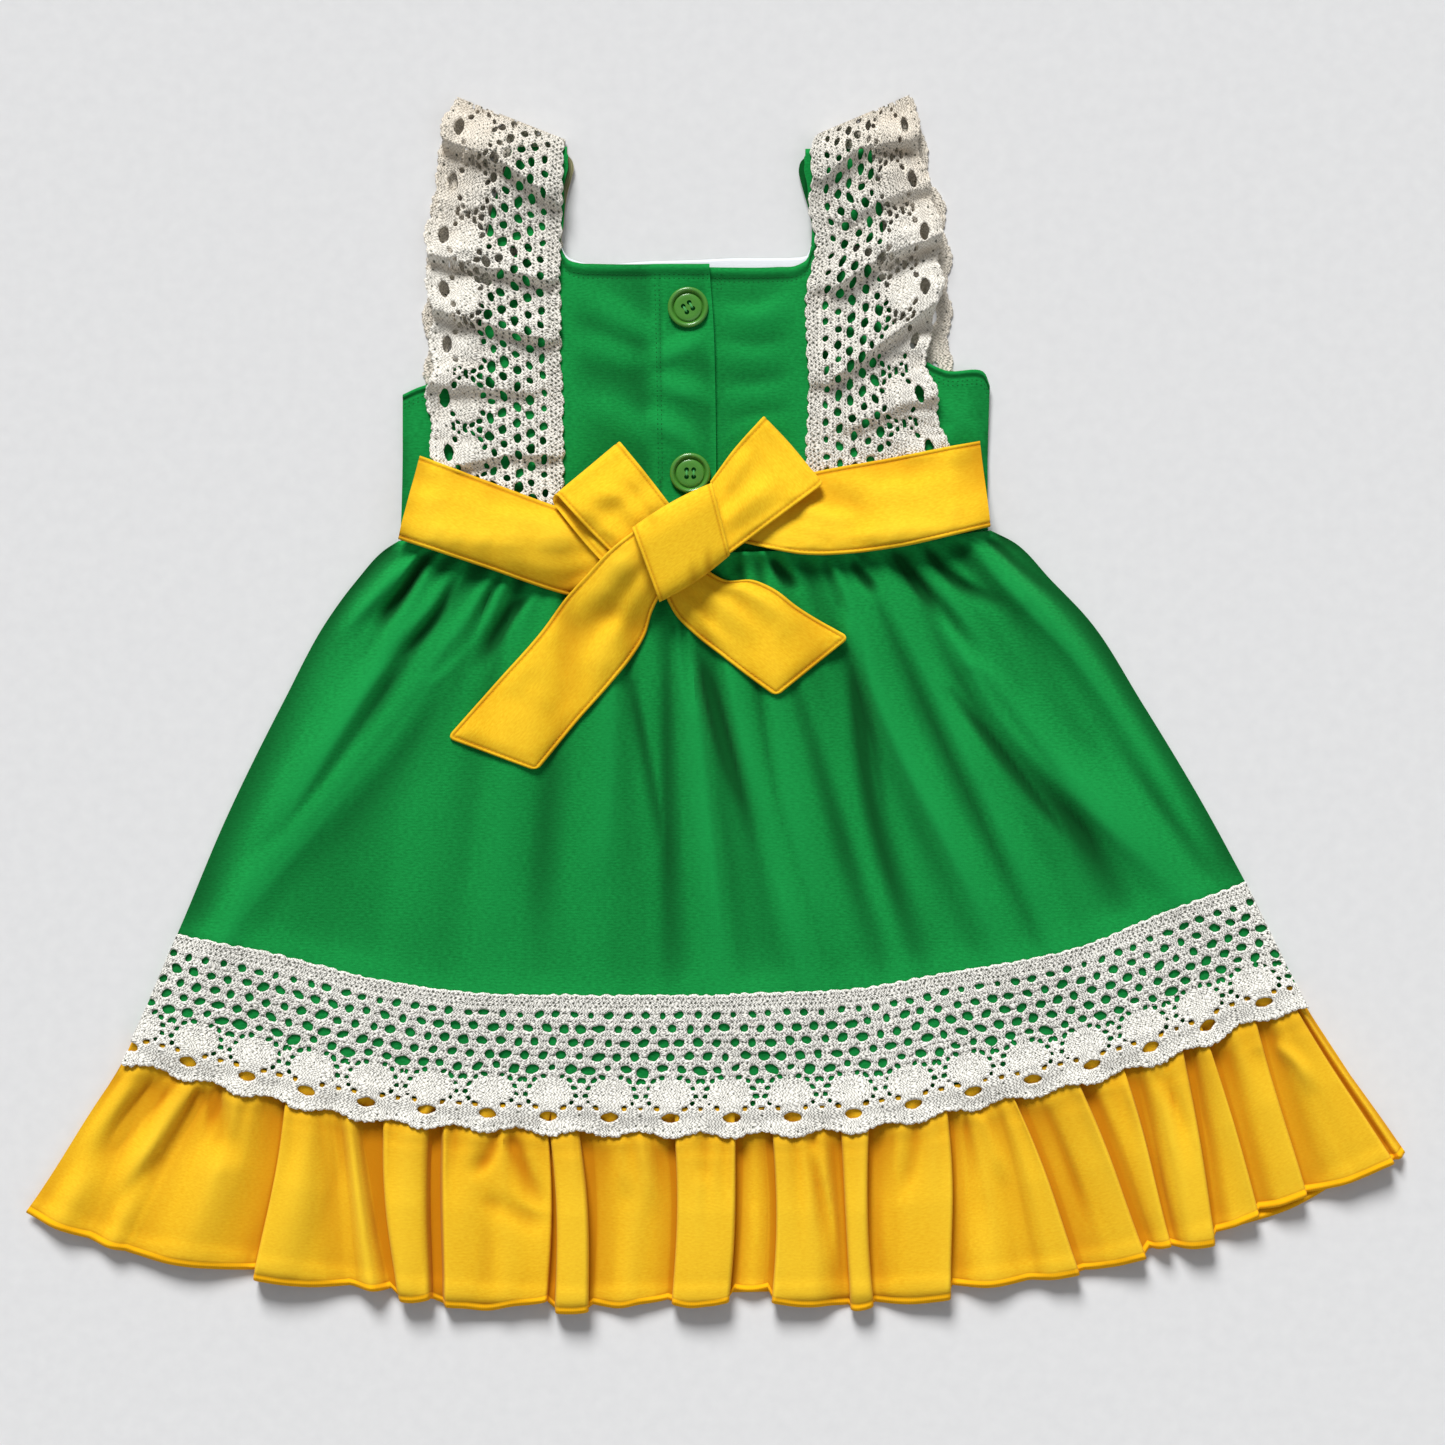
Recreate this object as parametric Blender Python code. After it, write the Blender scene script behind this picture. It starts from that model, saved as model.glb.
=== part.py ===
"""Small child's ruffle dress, laid flat with its back up.

The cloth lies in layers. The front lace, front panels and lining are at the bottom, then come the
back panels with their folds, the back lace, the sash and the bow. Each piece is a closed wall, and
its lower face follows the cloth that it lies on, GAP above it.

Sizes are in millimetres and turn into metres where a mesh is made. X runs across the dress, Y runs
toward the shoulders, Z points up. The origin is on the floor under the middle of the dress, and the
tables' Y counts from a line MIDDLE_Y away. Left and right are the wearer's, so left is at -X here.
"""
import math

import bmesh
import bpy
import numpy as np

MM = 0.001
MIDDLE_Y = -2.13      # Y of the dress's middle in the tables

# Cloth walls and the gap between pieces that touch or are sewn
JERSEY = 1.2
LACE = 1.0
LINING = 1.0
SASH = 1.8
GAP = 0.3

# Square of the bed that holds the height of the cloth laid so far
BED_WIDTH = 700.0
BED_CELL = 2.0
BED_SAMPLES = 16

# Side edges of the skirt, from the waist to the top of the lace band: x, y
SKIRT_LEFT = [(-152, 76), (-159, 72), (-173, 57), (-187, 38), (-208, -1), (-236, -58), (-259, -113)]
SKIRT_RIGHT = [(132, 81), (143, 76), (162, 57), (180, 38), (205, -1), (239, -58), (255, -88)]
WAIST = [(-152, 76), (-70, 72), (18, 70.5), (80, 74), (132, 81)]

# Upper and lower edge of the lace band: x, y
BAND_TOP = [(-259, -113), (-219, -120.5), (-163, -134), (-140, -138), (-55, -142), (31, -140.5),
            (74, -138), (103, -132.5), (175, -118.5), (218, -101), (255, -88)]
BAND_FOOT = [(-285, -174), (-228, -188.5), (-171, -201), (-99, -207), (-12, -209), (74, -206),
             (125, -196), (182, -183), (233, -166.5), (261, -154), (285, -149)]
BAND_WIDTH = 68.0
SEAM_RISE = 13.0      # ruffle seam above the lace band's lower edge

# Lace pattern: scallops along the free edge with one long eyelet over each
SCALLOP_PITCH = 29.6
SCALLOP_DEPTH = 2.0
FIRST_EYELET = 30.0
EYELET_LENGTH = 9.2
EYELET_WIDTH = 5.0
EYELET_RISE = 8.0
BAND_ROWS = (26.0, 46.0)
CORNER_PULL = 0.74    # rounds an eyelet's corners

# Folds of the back skirt: start, middle and end of each crest, its height, its half width at both ends
SKIRT_FOLDS = [
    # x0, y0, x1, y1, x2, y2, height, width0, width1
    (-139, 63, -159, 48, -175, 34, 4.5, 8, 12),
    (-121, 58, -161, 13, -210, -63, 4.5, 7, 13),
    (-100, 53, -142, -1, -227, -103, 5.5, 8, 15),
    (-78, 50, -92, -50, -108, -135, 2.5, 12, 24),
    (-50, 45, -50, -29, -55, -82, 2.0, 6, 13),
    (-15, 43, -7, -29, 3, -128, 4.5, 7, 16),
    (4, 43, 20, -44, 44, -133, 3.5, 7, 11),
    (25, 45, 38, -63, 58, -127, 2.5, 8, 12),
    (51, 62, 73, 4, 128, -106, 6.0, 8, 13),
    (71, 65, 113, -13, 161, -113, 3.5, 8, 14),
    (92, 67, 137, -8, 215, -85, 6.0, 8, 17),
    (126, 69, 171, 21, 235, -70, 4.0, 9, 15),
]
SKIRT_LOFT = 1.6      # air between the two skirt panels away from the folds
SKIRT_SIDE = 0.05     # part of the skirt's width over which the folds fade at each side seam
LACE_PRESS = (0.7, 0.92, 0.85)  # the folds fade from and to these parts of the length, by this much
FOLD_FADE = 0.65      # how much of a fold's height is gone at its far end
SKIRT_COLUMNS = 54
SKIRT_ROWS = 14
FRONT_CELLS = (10, 22)

# Pleats of the back ruffle, left to right. Seam positions lie on the lace band's lower edge.
PLEATS = [
    # seam_l, seam_r, hem_l, hem_r, y_l, y_r, z_l, z_mid, z_r
    (-284, -268, -332, -302, -247.5, -259.5, 1.0, 4.0, 3.0),
    (-264, -246, -299, -284, -261.0, -266.0, 0.8, 3.0, 5.5),
    (-245, -208, -283, -222, -266.5, -274.5, 5.5, 4.5, 3.0),
    (-206, -185, -221, -176, -278.5, -282.5, 7.5, 6.5, 3.0),
    (-182, -170, -174, -156, -283.0, -283.7, 4.0, 6.0, 3.5),
    (-159, -138, -151, -138, -290.0, -288.5, 5.5, 7.5, 5.5),
    (-130, -81, -129, -82, -292.5, -289.5, 6.0, 4.5, 5.0),
    (-79, -66, -76, -62, -295.2, -294.7, 6.5, 7.5, 7.0),
    (-60, -23, -59, -23, -292.0, -289.5, 2.0, 3.0, 1.5),
    (-19, 9, -20, 5.5, -290.5, -290.0, 6.5, 6.5, 6.5),
    (13, 24, 9, 25, -285.0, -284.6, 0.8, 1.0, 0.8),
    (28, 59, 28, 64, -290.4, -291.5, 6.5, 5.0, 4.0),
    (61, 73, 66, 75, -293.0, -292.5, 5.5, 7.0, 6.0),
    (76, 111, 77, 112, -291.0, -288.5, 2.5, 4.0, 6.5),
    (114, 131, 114, 150, -282.0, -279.5, 1.2, 4.0, 3.0),
    (133, 143, 153, 174, -279.3, -276.0, 3.0, 5.0, 6.5),
    (147, 174, 178, 206, -274.5, -268.5, 1.5, 3.0, 6.5),
    (177, 196, 209, 218, -263.5, -262.8, 1.5, 3.5, 5.5),
    (200, 224, 220, 239, -263.0, -261.5, 3.0, 5.5, 6.5),
    (228, 236, 241, 260, -256.0, -247.5, 2.0, 4.0, 7.0),
    (239, 259, 262, 283, -245.0, -238.0, 2.0, 4.5, 7.0),
    (262, 279, 285, 325, -237.0, -222.5, 1.5, 5.0, 5.5),
    (280, 284, 327, 332, -221.5, -218.0, 2.5, 2.5, 1.2),
]
PLEAT_GROOVE = 0.4    # height of the cloth in the grooves between pleats
SEAM_HEIGHT = 0.08    # part of the pleat height at the seam under the lace
RUFFLE_ROWS = [
    # part of the way from lace to hem, part of the pleat height
    (0.0, 0.45), (0.14, 0.85), (0.45, 1.0), (0.75, 1.0), (1.0, 0.92),
]

# Hem of the front ruffle, flat on the floor, and its shallow waves
FRONT_HEM = [(-330, -246), (-294, -260), (-228, -271), (-150, -283), (-70, -288), (10, -286),
             (100, -283), (170, -273), (232, -259), (283, -243), (306, -229), (330, -218)]
FRONT_WAVES = 22
FRONT_WAVE_HEIGHT = 1.2
FRONT_RUFFLE_ROWS = [
    # part of the way from lace to hem, part of the wave height
    (0.0, 0.2), (0.3, 1.0), (0.65, 1.0), (1.0, 1.0),
]

# How a wall lies on the cloth below it
MAX_SLOPE = 1.8       # a wall is thickened for its slope up to this
SHORTEST_RUN = 0.5    # shorter steps of a plan count as this long when a slope is measured
EASE_PASSES = 30
CREASE_ANGLE = 50     # degrees; sharper edges are not shaded smooth
CURVE_SAMPLES = 801

# Bodice panels, one row for each column of cloth: x and y on the upper edge, x at the waist
BODICE_LEFT_SIDE = [
    (-150.5, 146.5, -151.5), (-144, 149.5, -144), (-137, 152, -136), (-127.5, 157, -128),
    (-120, 166.5, -122), (-114.5, 179.5, -117), (-112.3, 191.5, -113), (-111, 217, -109),
]
BODICE_RIGHT_SIDE = [
    (81, 218, 76), (82.3, 196, 80), (85, 183, 86), (91, 171.5, 93), (100.5, 163, 102),
    (111, 158, 112), (129.5, 157, 125), (132, 151, 131),
]
BACK_NECK_LEFT = [(-74.2, 217, -74), (-71.8, 212.2, -70), (-65, 209.7, -62), (-32, 209.3, -32),
                  (-1.5, 209.3, 0.5)]
BACK_NECK_RIGHT = [(-27, 208, -27), (-3, 207.9, -3), (6, 207.8, 6), (36, 207.8, 34), (41.5, 211.5, 40),
                   (43, 218, 44)]
FRONT_NECK = [(-74.2, 217, -74), (-71.8, 213, -70), (-66, 211.8, -62), (-30, 211.6, -30),
              (6, 211.6, 6), (36, 211.6, 34), (41.5, 213, 40), (43, 218, 44)]
LINING_RISE = 0.8     # lining above the front's neckline
SIDE_BOW = 5.0        # side seams curve in between waist and armhole
HALF_CHEST = 140.0
BODICE_ROWS = 5

# Straps, one row for each station from the bodice up to the shoulder fold: y, inner x, outer x
STRAP_LEFT = [(217.3, -74.2, -111), (238, -73, -107), (250, -69.5, -102), (262, -68.4, -98)]
STRAP_RIGHT = [(218.3, 43, 81), (238, 42.8, 80), (250, 41.2, 77), (261, 40.6, 75)]
STRAP_FOLD = 3.6      # radius of the rolled shoulder fold
STRAP_TURN = (-60, -25, 0, 25, 60)  # degrees round the fold
STRAP_DROP = 0.9      # part of the strap's length over which it comes down to the seam
STRAP_ACROSS = 4

# Shoulder lace: inner edge along the bodice, outer fluttering edge, from the fold to the waist: x, y
LACE_LEFT_INNER = [(-72.2, 269.5), (-73.7, 239.5), (-74.6, 191.5), (-73.2, 143.5), (-72.7, 95.5),
                   (-72.7, 73)]
LACE_LEFT_OUTER = [(-125.5, 290.5), (-132, 267), (-133.7, 245), (-139, 217.5), (-137, 191.5),
                   (-136.6, 157), (-138, 136), (-135, 116.5), (-134, 77)]
LACE_LEFT_OUTER_FRONT = [(-124, 289), (-131, 267), (-135, 245), (-137, 217.5), (-139.5, 191.5),
                         (-139, 157), (-137, 136), (-134, 116.5), (-133, 77)]
LACE_RIGHT_INNER = [(47.8, 272), (44.4, 249), (43.4, 191.5), (43.4, 143.5), (43.9, 110), (43.9, 74)]
LACE_RIGHT_OUTER = [(94.5, 291.5), (96.7, 279), (100.6, 253.4), (105.4, 238.6), (108, 214.5),
                    (107.5, 191.5), (101.5, 168), (105.4, 145.5), (109.2, 128.6), (110.4, 122),
                    (112.5, 79)]
LACE_RIGHT_OUTER_FRONT = [(93.5, 290), (98.6, 279), (103, 253.4), (109.2, 238.6), (112.3, 214.5),
                          (112.6, 187), (113, 161.5), (110, 143.5), (108, 122), (110, 79)]
FLUTTER_EYELETS = 7
FLUTTER_FIRST = 14.0
FLUTTER_PITCH = 26.5
FLUTTER_ROWS = (0.45, 0.75)  # parts of the width
FLUTTER_FOLDS_LEFT = [
    # x0, y0, x1, y1, x2, y2, height, width0, width1
    (-76, 236, -101, 255, -133, 268, 5.0, 7, 12),
    (-80, 201, -104, 205, -139, 213, 5.0, 6, 11),
    (-83, 174, -106, 179, -138, 186, 5.0, 6, 11),
    (-76, 117, -109, 114, -134, 112, 2.5, 5, 8),
]
FLUTTER_FOLDS_RIGHT = [
    (47, 258, 65, 268, 99, 274, 4.0, 7, 12),
    (58, 232, 78, 238, 104, 246, 3.5, 7, 11),
    (58, 201, 81, 213, 107, 220, 5.0, 6, 11),
    (60, 157, 81, 175, 104, 191, 5.0, 6, 11),
]
FOLD_EDGE_DROP = 12.0  # the lace's folds fade toward its shoulder fold over this length
FOLD_ROLL = 2.5       # the lace turns down over this length at its shoulder fold
LACE_FALL = 0.3       # steepest slope of the lace beside the straps

# Bow parts as pairs of edges, each from the side seam or the knot outward: x, y
SASH_LEFT_TOP = [(-141.5, 116.5), (-108, 104), (-74.6, 91.7), (-45, 83)]
SASH_LEFT_FOOT = [(-151.8, 76.5), (-111, 63), (-70, 50), (-45, 52)]
SASH_RIGHT_TOP = [(127, 124), (86, 116), (45, 108.5), (8, 98)]
SASH_RIGHT_FOOT = [(131.6, 82.5), (85, 72), (42.5, 69), (8, 76)]
LOOP_LEFT_TOP = [(-18, 88), (-31, 105), (-42, 118.6)]
LOOP_LEFT_FOOT = [(-46, 66), (-60, 80), (-74.6, 96)]
LOOP_LEFT_UNDER_FOOT = [(-49, 60), (-62, 74), (-76.5, 92)]
LOOP_RIGHT_TOP = [(-2.5, 104), (8, 118.5), (20.4, 132.5)]
LOOP_RIGHT_FOOT = [(3, 66.5), (28, 85), (49.7, 101.3)]
LOOP_RIGHT_UNDER_FOOT = [(3, 71), (26, 88), (48, 103)]
TAIL_LEFT_TOP = [(-35, 80), (-70, 46), (-100, 13), (-129, -18.7)]
TAIL_LEFT_FOOT = [(-22, 52), (-35, 30), (-58, -2), (-85.7, -34.6)]
TAIL_RIGHT_TOP = [(-4, 66), (18, 56.5), (32, 48.5), (64.6, 29.3)]
TAIL_RIGHT_FOOT = [(-24, 52), (-10, 32), (10, 15.5), (29, 1)]
KNOT = [(-39.6, 81), (-1.7, 102.7), (7, 68.6), (-26.6, 46)]
KNOT_HEIGHT = 5.0
KNOT_DOME = 0.4       # power that makes the knot's top flat and its sides steep
KNOT_FALL = 0.1       # steepest slope of the knot's underside
SASH_FALL = 0.35      # steepest slope of a ribbon that comes down off another
KNOT_CELLS = 7
LOOP_PUFF = 2.6       # inner height of a loop at its fold
LOOP_RISE = 0.9       # part of the loop's length over which it opens
LOOP_TURN = (-50, 0, 50)  # degrees round the fold
BOW_ACROSS = 5
SASH_CELLS = 9
TAIL_CELLS = 11
LOOP_CELLS = 5

# Buttons: centres x, y, the turned profile as radius and height, and the thread holes
BUTTONS = {"button_top": (-13.2, 188.2), "button_bottom": (-12.2, 108.5)}
BUTTON_PROFILE = [(0.0, 1.5), (6.6, 1.6), (7.0, 1.35), (7.5, 1.7), (8.6, 2.7), (9.4, 2.6), (9.8, 1.8),
                  (9.2, 0.4), (8.0, 0.0), (0.0, 0.0)]
BUTTON_SIDES = 22
HOLE_RADIUS = 1.0
HOLE_SIDES = 8
HOLE_OFFSET = 2.1
HOLE_DEPTH = 12.0

FINISHES = {
    # colour, roughness
    "green_jersey": ((0.012, 0.25, 0.05), 0.9),
    "yellow_jersey": ((0.95, 0.5, 0.03), 0.9),
    "cream_lace": ((0.78, 0.73, 0.64), 0.95),
    "white_lining": ((0.82, 0.84, 0.87), 0.9),
    "green_button": ((0.06, 0.24, 0.04), 0.3),
}


def clear_scene():
    """Remove whatever the scene holds."""
    for item in list(bpy.data.objects):
        bpy.data.objects.remove(item, do_unlink=True)


def finish(name):
    """Return the material of a finish, made on first use."""
    material = bpy.data.materials.get(name)
    if material is None:
        colour, roughness = FINISHES[name]
        material = bpy.data.materials.new(name)
        material.use_nodes = True
        shader = material.node_tree.nodes["Principled BSDF"]
        shader.inputs["Base Color"].default_value = (*colour, 1.0)
        shader.inputs["Roughness"].default_value = roughness
        shader.inputs["Metallic"].default_value = 0.0
    return material


def path(points, fractions):
    """Read a smooth curve through the points at fractions of its length."""
    points = np.asarray(points, float)
    steps = np.linalg.norm(np.diff(points, axis=0), axis=1)
    stations = np.concatenate([[0.0], np.cumsum(steps)])
    slopes = np.gradient(points, stations, axis=0)
    at = np.clip(fractions, 0.0, 1.0) * stations[-1]
    left = np.clip(np.searchsorted(stations, at, side="right") - 1, 0, len(points) - 2)
    step = (stations[left + 1] - stations[left])[:, None]
    t = (at - stations[left])[:, None] / step
    rise = t * t * (3 - 2 * t)
    start = t * (1 - t) ** 2 * step * slopes[left]
    end = t * t * (1 - t) * step * slopes[left + 1]
    return points[left] + rise * (points[left + 1] - points[left]) + start - end


def length(points):
    """Length of the line through the points."""
    return float(np.linalg.norm(np.diff(np.asarray(points, float), axis=0), axis=1).sum())


def ruled(first, second, parts):
    """Rows of points between two equal rows of points, at the given parts of the way."""
    parts = np.asarray(parts, float)[:, None, None]
    return first[None] * (1 - parts) + second[None] * parts


def patch(left, right, top, foot, rows, columns):
    """Grid of points inside four smooth edges; rows run from top to foot."""
    v = np.linspace(0, 1, rows + 1)
    u = np.linspace(0, 1, columns + 1)
    sides = ruled(path(left, v), path(right, v), u).transpose(1, 0, 2)
    ends = ruled(top(u), foot(u), v)
    corners = ruled(ruled(top(u[:1]), foot(u[:1]), v)[:, 0], ruled(top(u[-1:]), foot(u[-1:]), v)[:, 0], u)
    return sides + ends - corners.transpose(1, 0, 2)


def smooth_step(value, low, high):
    """Rise softly from 0 at low to 1 at high."""
    t = np.clip((value - low) / (high - low), 0.0, 1.0)
    return t * t * (3 - 2 * t)


def fold_relief(plan, folds):
    """Height of soft folds over a plan of x and y points."""
    relief = np.zeros(plan.shape[:2])
    for x0, y0, x1, y1, x2, y2, height, width0, width1 in folds:
        crest = path([(x0, y0), (x1, y1), (x2, y2)], np.linspace(0, 1, 25))
        distances = np.linalg.norm(plan[:, :, None] - crest[None, None], axis=3)
        nearest = distances.argmin(axis=2)
        along = nearest / (len(crest) - 1)
        width = width0 + (width1 - width0) * along
        fade = smooth_step(along, -0.15, 0.2) * (1 - FOLD_FADE * smooth_step(along, 0.6, 1.0))
        away = distances.min(axis=2) / width
        relief = np.maximum(relief, height * fade * np.exp(-away * away))
    return relief


def round_about(plan, pick):
    """Smallest or largest x and y among each point of a plan and its neighbours."""
    rows, columns = plan.shape[:2]
    padded = np.pad(plan, [(1, 1), (1, 1), (0, 0)], mode="edge")
    return pick([padded[i:i + rows, j:j + columns] for i in range(3) for j in range(3)], axis=0)


class Bed:
    """Height of the cloth laid so far over a grid of squares."""

    def __init__(self):
        cells = int(BED_WIDTH / BED_CELL)
        self.height = np.zeros((cells, cells))

    def cell(self, xy):
        """Index of the square under each point."""
        return np.floor((xy + BED_WIDTH / 2) / BED_CELL).astype(int)

    def add(self, surface, cells):
        """Raise the bed to an upper face, sampled over the two triangles of each cell."""
        grid = surface.reshape(-1, 3)
        triangles = grid[np.vstack([cells[:, [0, 1, 2]], cells[:, [0, 2, 3]]])]
        steps = [(i, j, BED_SAMPLES - i - j) for i in range(BED_SAMPLES + 1)
                 for j in range(BED_SAMPLES + 1 - i)]
        weights = np.array(steps, float) / BED_SAMPLES
        samples = np.einsum("sk,tkc->tsc", weights, triangles).reshape(-1, 3)
        column, row = self.cell(samples[:, :2]).T
        np.maximum.at(self.height, (row, column), samples[:, 2])

    def below(self, plan):
        """Highest cloth under the cells round each point of a plan."""
        low = self.cell(round_about(plan, np.min))
        high = self.cell(round_about(plan, np.max)) + 1
        result = np.zeros(plan.shape[:2])
        for place in np.ndindex(plan.shape[:2]):
            (x0, y0), (x1, y1) = low[place], high[place]
            result[place] = self.height[y0:y1, x0:x1].max()
        return result


def kept_cells(shape, cut=None):
    """Corner indices of each cell of a grid that isn't cut out."""
    rows, columns = shape[:2]
    index = np.arange(rows * columns).reshape(rows, columns)
    cells = np.stack([index[:-1, :-1], index[:-1, 1:], index[1:, 1:], index[1:, :-1]], axis=-1)
    if cut is None:
        return cells.reshape(-1, 4)
    return cells[~cut]


def wall(name, upper, lower, finish_name, cut=None):
    """Make one closed solid between two grids of points."""
    cells = kept_cells(upper.shape, cut)
    faces = [tuple(face) for face in np.vstack([cells[:, [0, 1, 2]], cells[:, [0, 2, 3]]]).tolist()]
    edges = {(face[i], face[(i + 1) % 3]) for face in faces for i in range(3)}
    rim = [(p, q) for p, q in edges if (q, p) not in edges]
    total = upper.shape[0] * upper.shape[1]
    faces += [(a + total, c + total, b + total) for a, b, c in faces]
    for p, q in sorted(rim):
        faces += [(q, p, p + total), (q, p + total, q + total)]
    return add_mesh(name, np.vstack([upper.reshape(-1, 3), lower.reshape(-1, 3)]), faces, finish_name)


def world(points):
    """Turn table points in millimetres into places in metres."""
    return (np.asarray(points, float) - np.array([0.0, MIDDLE_Y, 0.0])) * MM


def add_mesh(name, points, faces, finish_name):
    """Make an object from table points and faces, without loose points, facing out."""
    mesh = bpy.data.meshes.new(name)
    mesh.from_pydata(world(points).tolist(), [], faces)
    shape = bmesh.new()
    shape.from_mesh(mesh)
    bmesh.ops.delete(shape, geom=[v for v in shape.verts if not v.link_faces], context="VERTS")
    bmesh.ops.recalc_face_normals(shape, faces=shape.faces[:])
    shape.to_mesh(mesh)
    shape.free()
    mesh.materials.append(finish(finish_name))
    mesh.shade_smooth()
    mesh.set_sharp_from_angle(angle=math.radians(CREASE_ANGLE))
    item = bpy.data.objects.new(name, mesh)
    bpy.context.scene.collection.objects.link(item)
    return item


def steepness(plan, height):
    """Steepest rise beside each point of a height grid."""
    steep = np.zeros(height.shape)
    for axis in (0, 1):
        run = np.maximum(np.linalg.norm(np.diff(plan, axis=axis), axis=2), SHORTEST_RUN)
        rise = np.abs(np.diff(height, axis=axis)) / run
        first = [(0, 1), (0, 0)] if axis == 0 else [(0, 0), (0, 1)]
        last = [(1, 0), (0, 0)] if axis == 0 else [(0, 0), (1, 0)]
        steep = np.maximum(steep, np.maximum(np.pad(rise, first), np.pad(rise, last)))
    return np.minimum(steep, MAX_SLOPE)


def ease(plan, height, fall):
    """Let cloth fall from its high spots no more steeply than fall."""
    height = height.copy()
    for _ in range(EASE_PASSES):
        for axis in (0, 1):
            drop = fall * np.linalg.norm(np.diff(plan, axis=axis), axis=2).swapaxes(0, axis)
            level = height.swapaxes(0, axis)
            level[1:] = np.maximum(level[1:], level[:-1] - drop)
            level[:-1] = np.maximum(level[:-1], level[1:] - drop)
    return height


def lay(bed, name, plan, thickness, finish_name, relief=0.0, cut=None, fall=None, pinned=False):
    """Lay a piece on the bed, relief above what is there, and make its wall.

    With a fall, the piece bridges the steps below it, apart from its pinned points.
    """
    under = bed.below(plan)
    floor = np.where(under > 0, under + GAP, 0.0)
    rest = floor if fall is None else np.where(pinned, floor, ease(plan, floor, fall))
    upper = rest + relief + thickness
    slant = thickness * np.sqrt(1 + steepness(plan, upper) ** 2)
    lower = np.maximum(floor, upper - slant)
    top = np.dstack([plan, upper])
    bed.add(top, kept_cells(top.shape, cut))
    return wall(name, top, np.dstack([plan, lower]), finish_name, cut)


def nearest_fraction(points, xs):
    """Fractions of a curve's length at which it passes the given x positions."""
    fractions = np.linspace(0, 1, CURVE_SAMPLES)
    return np.interp(xs, path(points, fractions)[:, 0], fractions)


def band_edge(rise):
    """Curve across the lace band, rise above its lower edge."""
    part = rise / BAND_WIDTH

    def edge(fractions):
        return path(BAND_FOOT, fractions) * (1 - part) + path(BAND_TOP, fractions) * part
    return edge


def lace_grid(foot, head, width, first, pitch, count, rows, roll=()):
    """Plan of scalloped lace with an oval eyelet over each scallop, and the cells cut out.

    The columns named by roll lie that far before the last end.
    """
    run = length(foot)
    half = EYELET_LENGTH / 2
    stations = [0.0]
    for k in range(count):
        middle = first + k * pitch
        stations += [middle - half, middle, middle + half]
        if k < count - 1:
            stations.append(middle + pitch / 2)
    stations = np.array(stations + [run - before for before in roll] + [run])
    low, high = EYELET_RISE - EYELET_WIDTH / 2, EYELET_RISE + EYELET_WIDTH / 2
    heights = np.array([0.0, low, EYELET_RISE, high, *rows, width])
    along = np.repeat(stations[None], len(heights), axis=0)
    rise = np.repeat(heights[:, None], len(stations), axis=1)
    rise[0] -= SCALLOP_DEPTH * np.cos(2 * math.pi * (stations - first) / pitch)
    cut = np.zeros((len(heights) - 1, len(stations) - 1), bool)
    for k in range(count):
        column = 4 * k + 2
        cut[1:3, column - 1:column + 1] = True
        for row in (1, 3):
            rise[row, [column - 1, column + 1]] = (
                EYELET_RISE + (heights[row] - EYELET_RISE) * CORNER_PULL)
            along[row, [column - 1, column + 1]] = (
                first + k * pitch + np.array([-1, 1]) * half * CORNER_PULL)
    parts = (rise / width)[:, :, None]
    low_edge = path(foot, (along / run).ravel()).reshape(*along.shape, 2)
    high_edge = path(head, (along / run).ravel()).reshape(*along.shape, 2)
    return low_edge * (1 - parts) + high_edge * parts, cut


def hem_lace(bed, name):
    """Lay the lace band that covers the skirt's lower edge."""
    count = int((length(BAND_FOOT) - FIRST_EYELET) / SCALLOP_PITCH) + 1
    plan, cut = lace_grid(BAND_FOOT, BAND_TOP, BAND_WIDTH, FIRST_EYELET, SCALLOP_PITCH, count, BAND_ROWS)
    lay(bed, name, plan, LACE, "cream_lace", cut=cut)


def shoulder_lace(bed, name, inner, outer, folds=None):
    """Lay one half of the lace over a strap, its scallops on the outer side."""
    inner, outer = inner[::-1], outer[::-1]
    width = length([inner[0], outer[0]])
    last = length(outer) - FLUTTER_FIRST
    pitch = min(FLUTTER_PITCH, (last - FLUTTER_FIRST) / (FLUTTER_EYELETS - 1))
    first = last - pitch * (FLUTTER_EYELETS - 1)
    rows = [width * part for part in FLUTTER_ROWS]
    plan, cut = lace_grid(outer, inner, width, first, pitch, FLUTTER_EYELETS, rows, roll=(FOLD_ROLL,))
    relief = fold_relief(plan, folds) if folds else np.zeros(plan.shape[:2])
    fold_edge = np.linalg.norm(plan - plan[:, -1:], axis=2)
    shoulder_fold = np.arange(plan.shape[1])[None] == plan.shape[1] - 1
    lay(bed, name, plan, LACE, "cream_lace", relief * smooth_step(fold_edge, 0, FOLD_EDGE_DROP), cut,
        fall=LACE_FALL, pinned=shoulder_fold)


def skirt_plan(rows, columns):
    """Points of a skirt panel between the waist and the ruffle seam."""
    seam = band_edge(SEAM_RISE)
    ends = seam(np.array([0.0, 1.0])).tolist()
    return patch(SKIRT_LEFT + ends[:1], SKIRT_RIGHT + ends[1:], lambda u: path(WAIST, u), seam,
                 rows, columns)


def skirt_back(bed):
    """Lay the back skirt with its folds running out from the waist."""
    plan = skirt_plan(SKIRT_ROWS, SKIRT_COLUMNS)
    u = np.linspace(0, 1, SKIRT_COLUMNS + 1)[None]
    v = np.linspace(0, 1, SKIRT_ROWS + 1)[:, None]
    inside = smooth_step(u, 0, SKIRT_SIDE) * smooth_step(1 - u, 0, SKIRT_SIDE)
    relief = (SKIRT_LOFT + fold_relief(plan, SKIRT_FOLDS)) * inside
    press_start, press_end, press = LACE_PRESS
    relief *= 1 - press * smooth_step(v, press_start, press_end)
    lay(bed, "skirt_back", plan, JERSEY, "green_jersey", relief)


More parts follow.
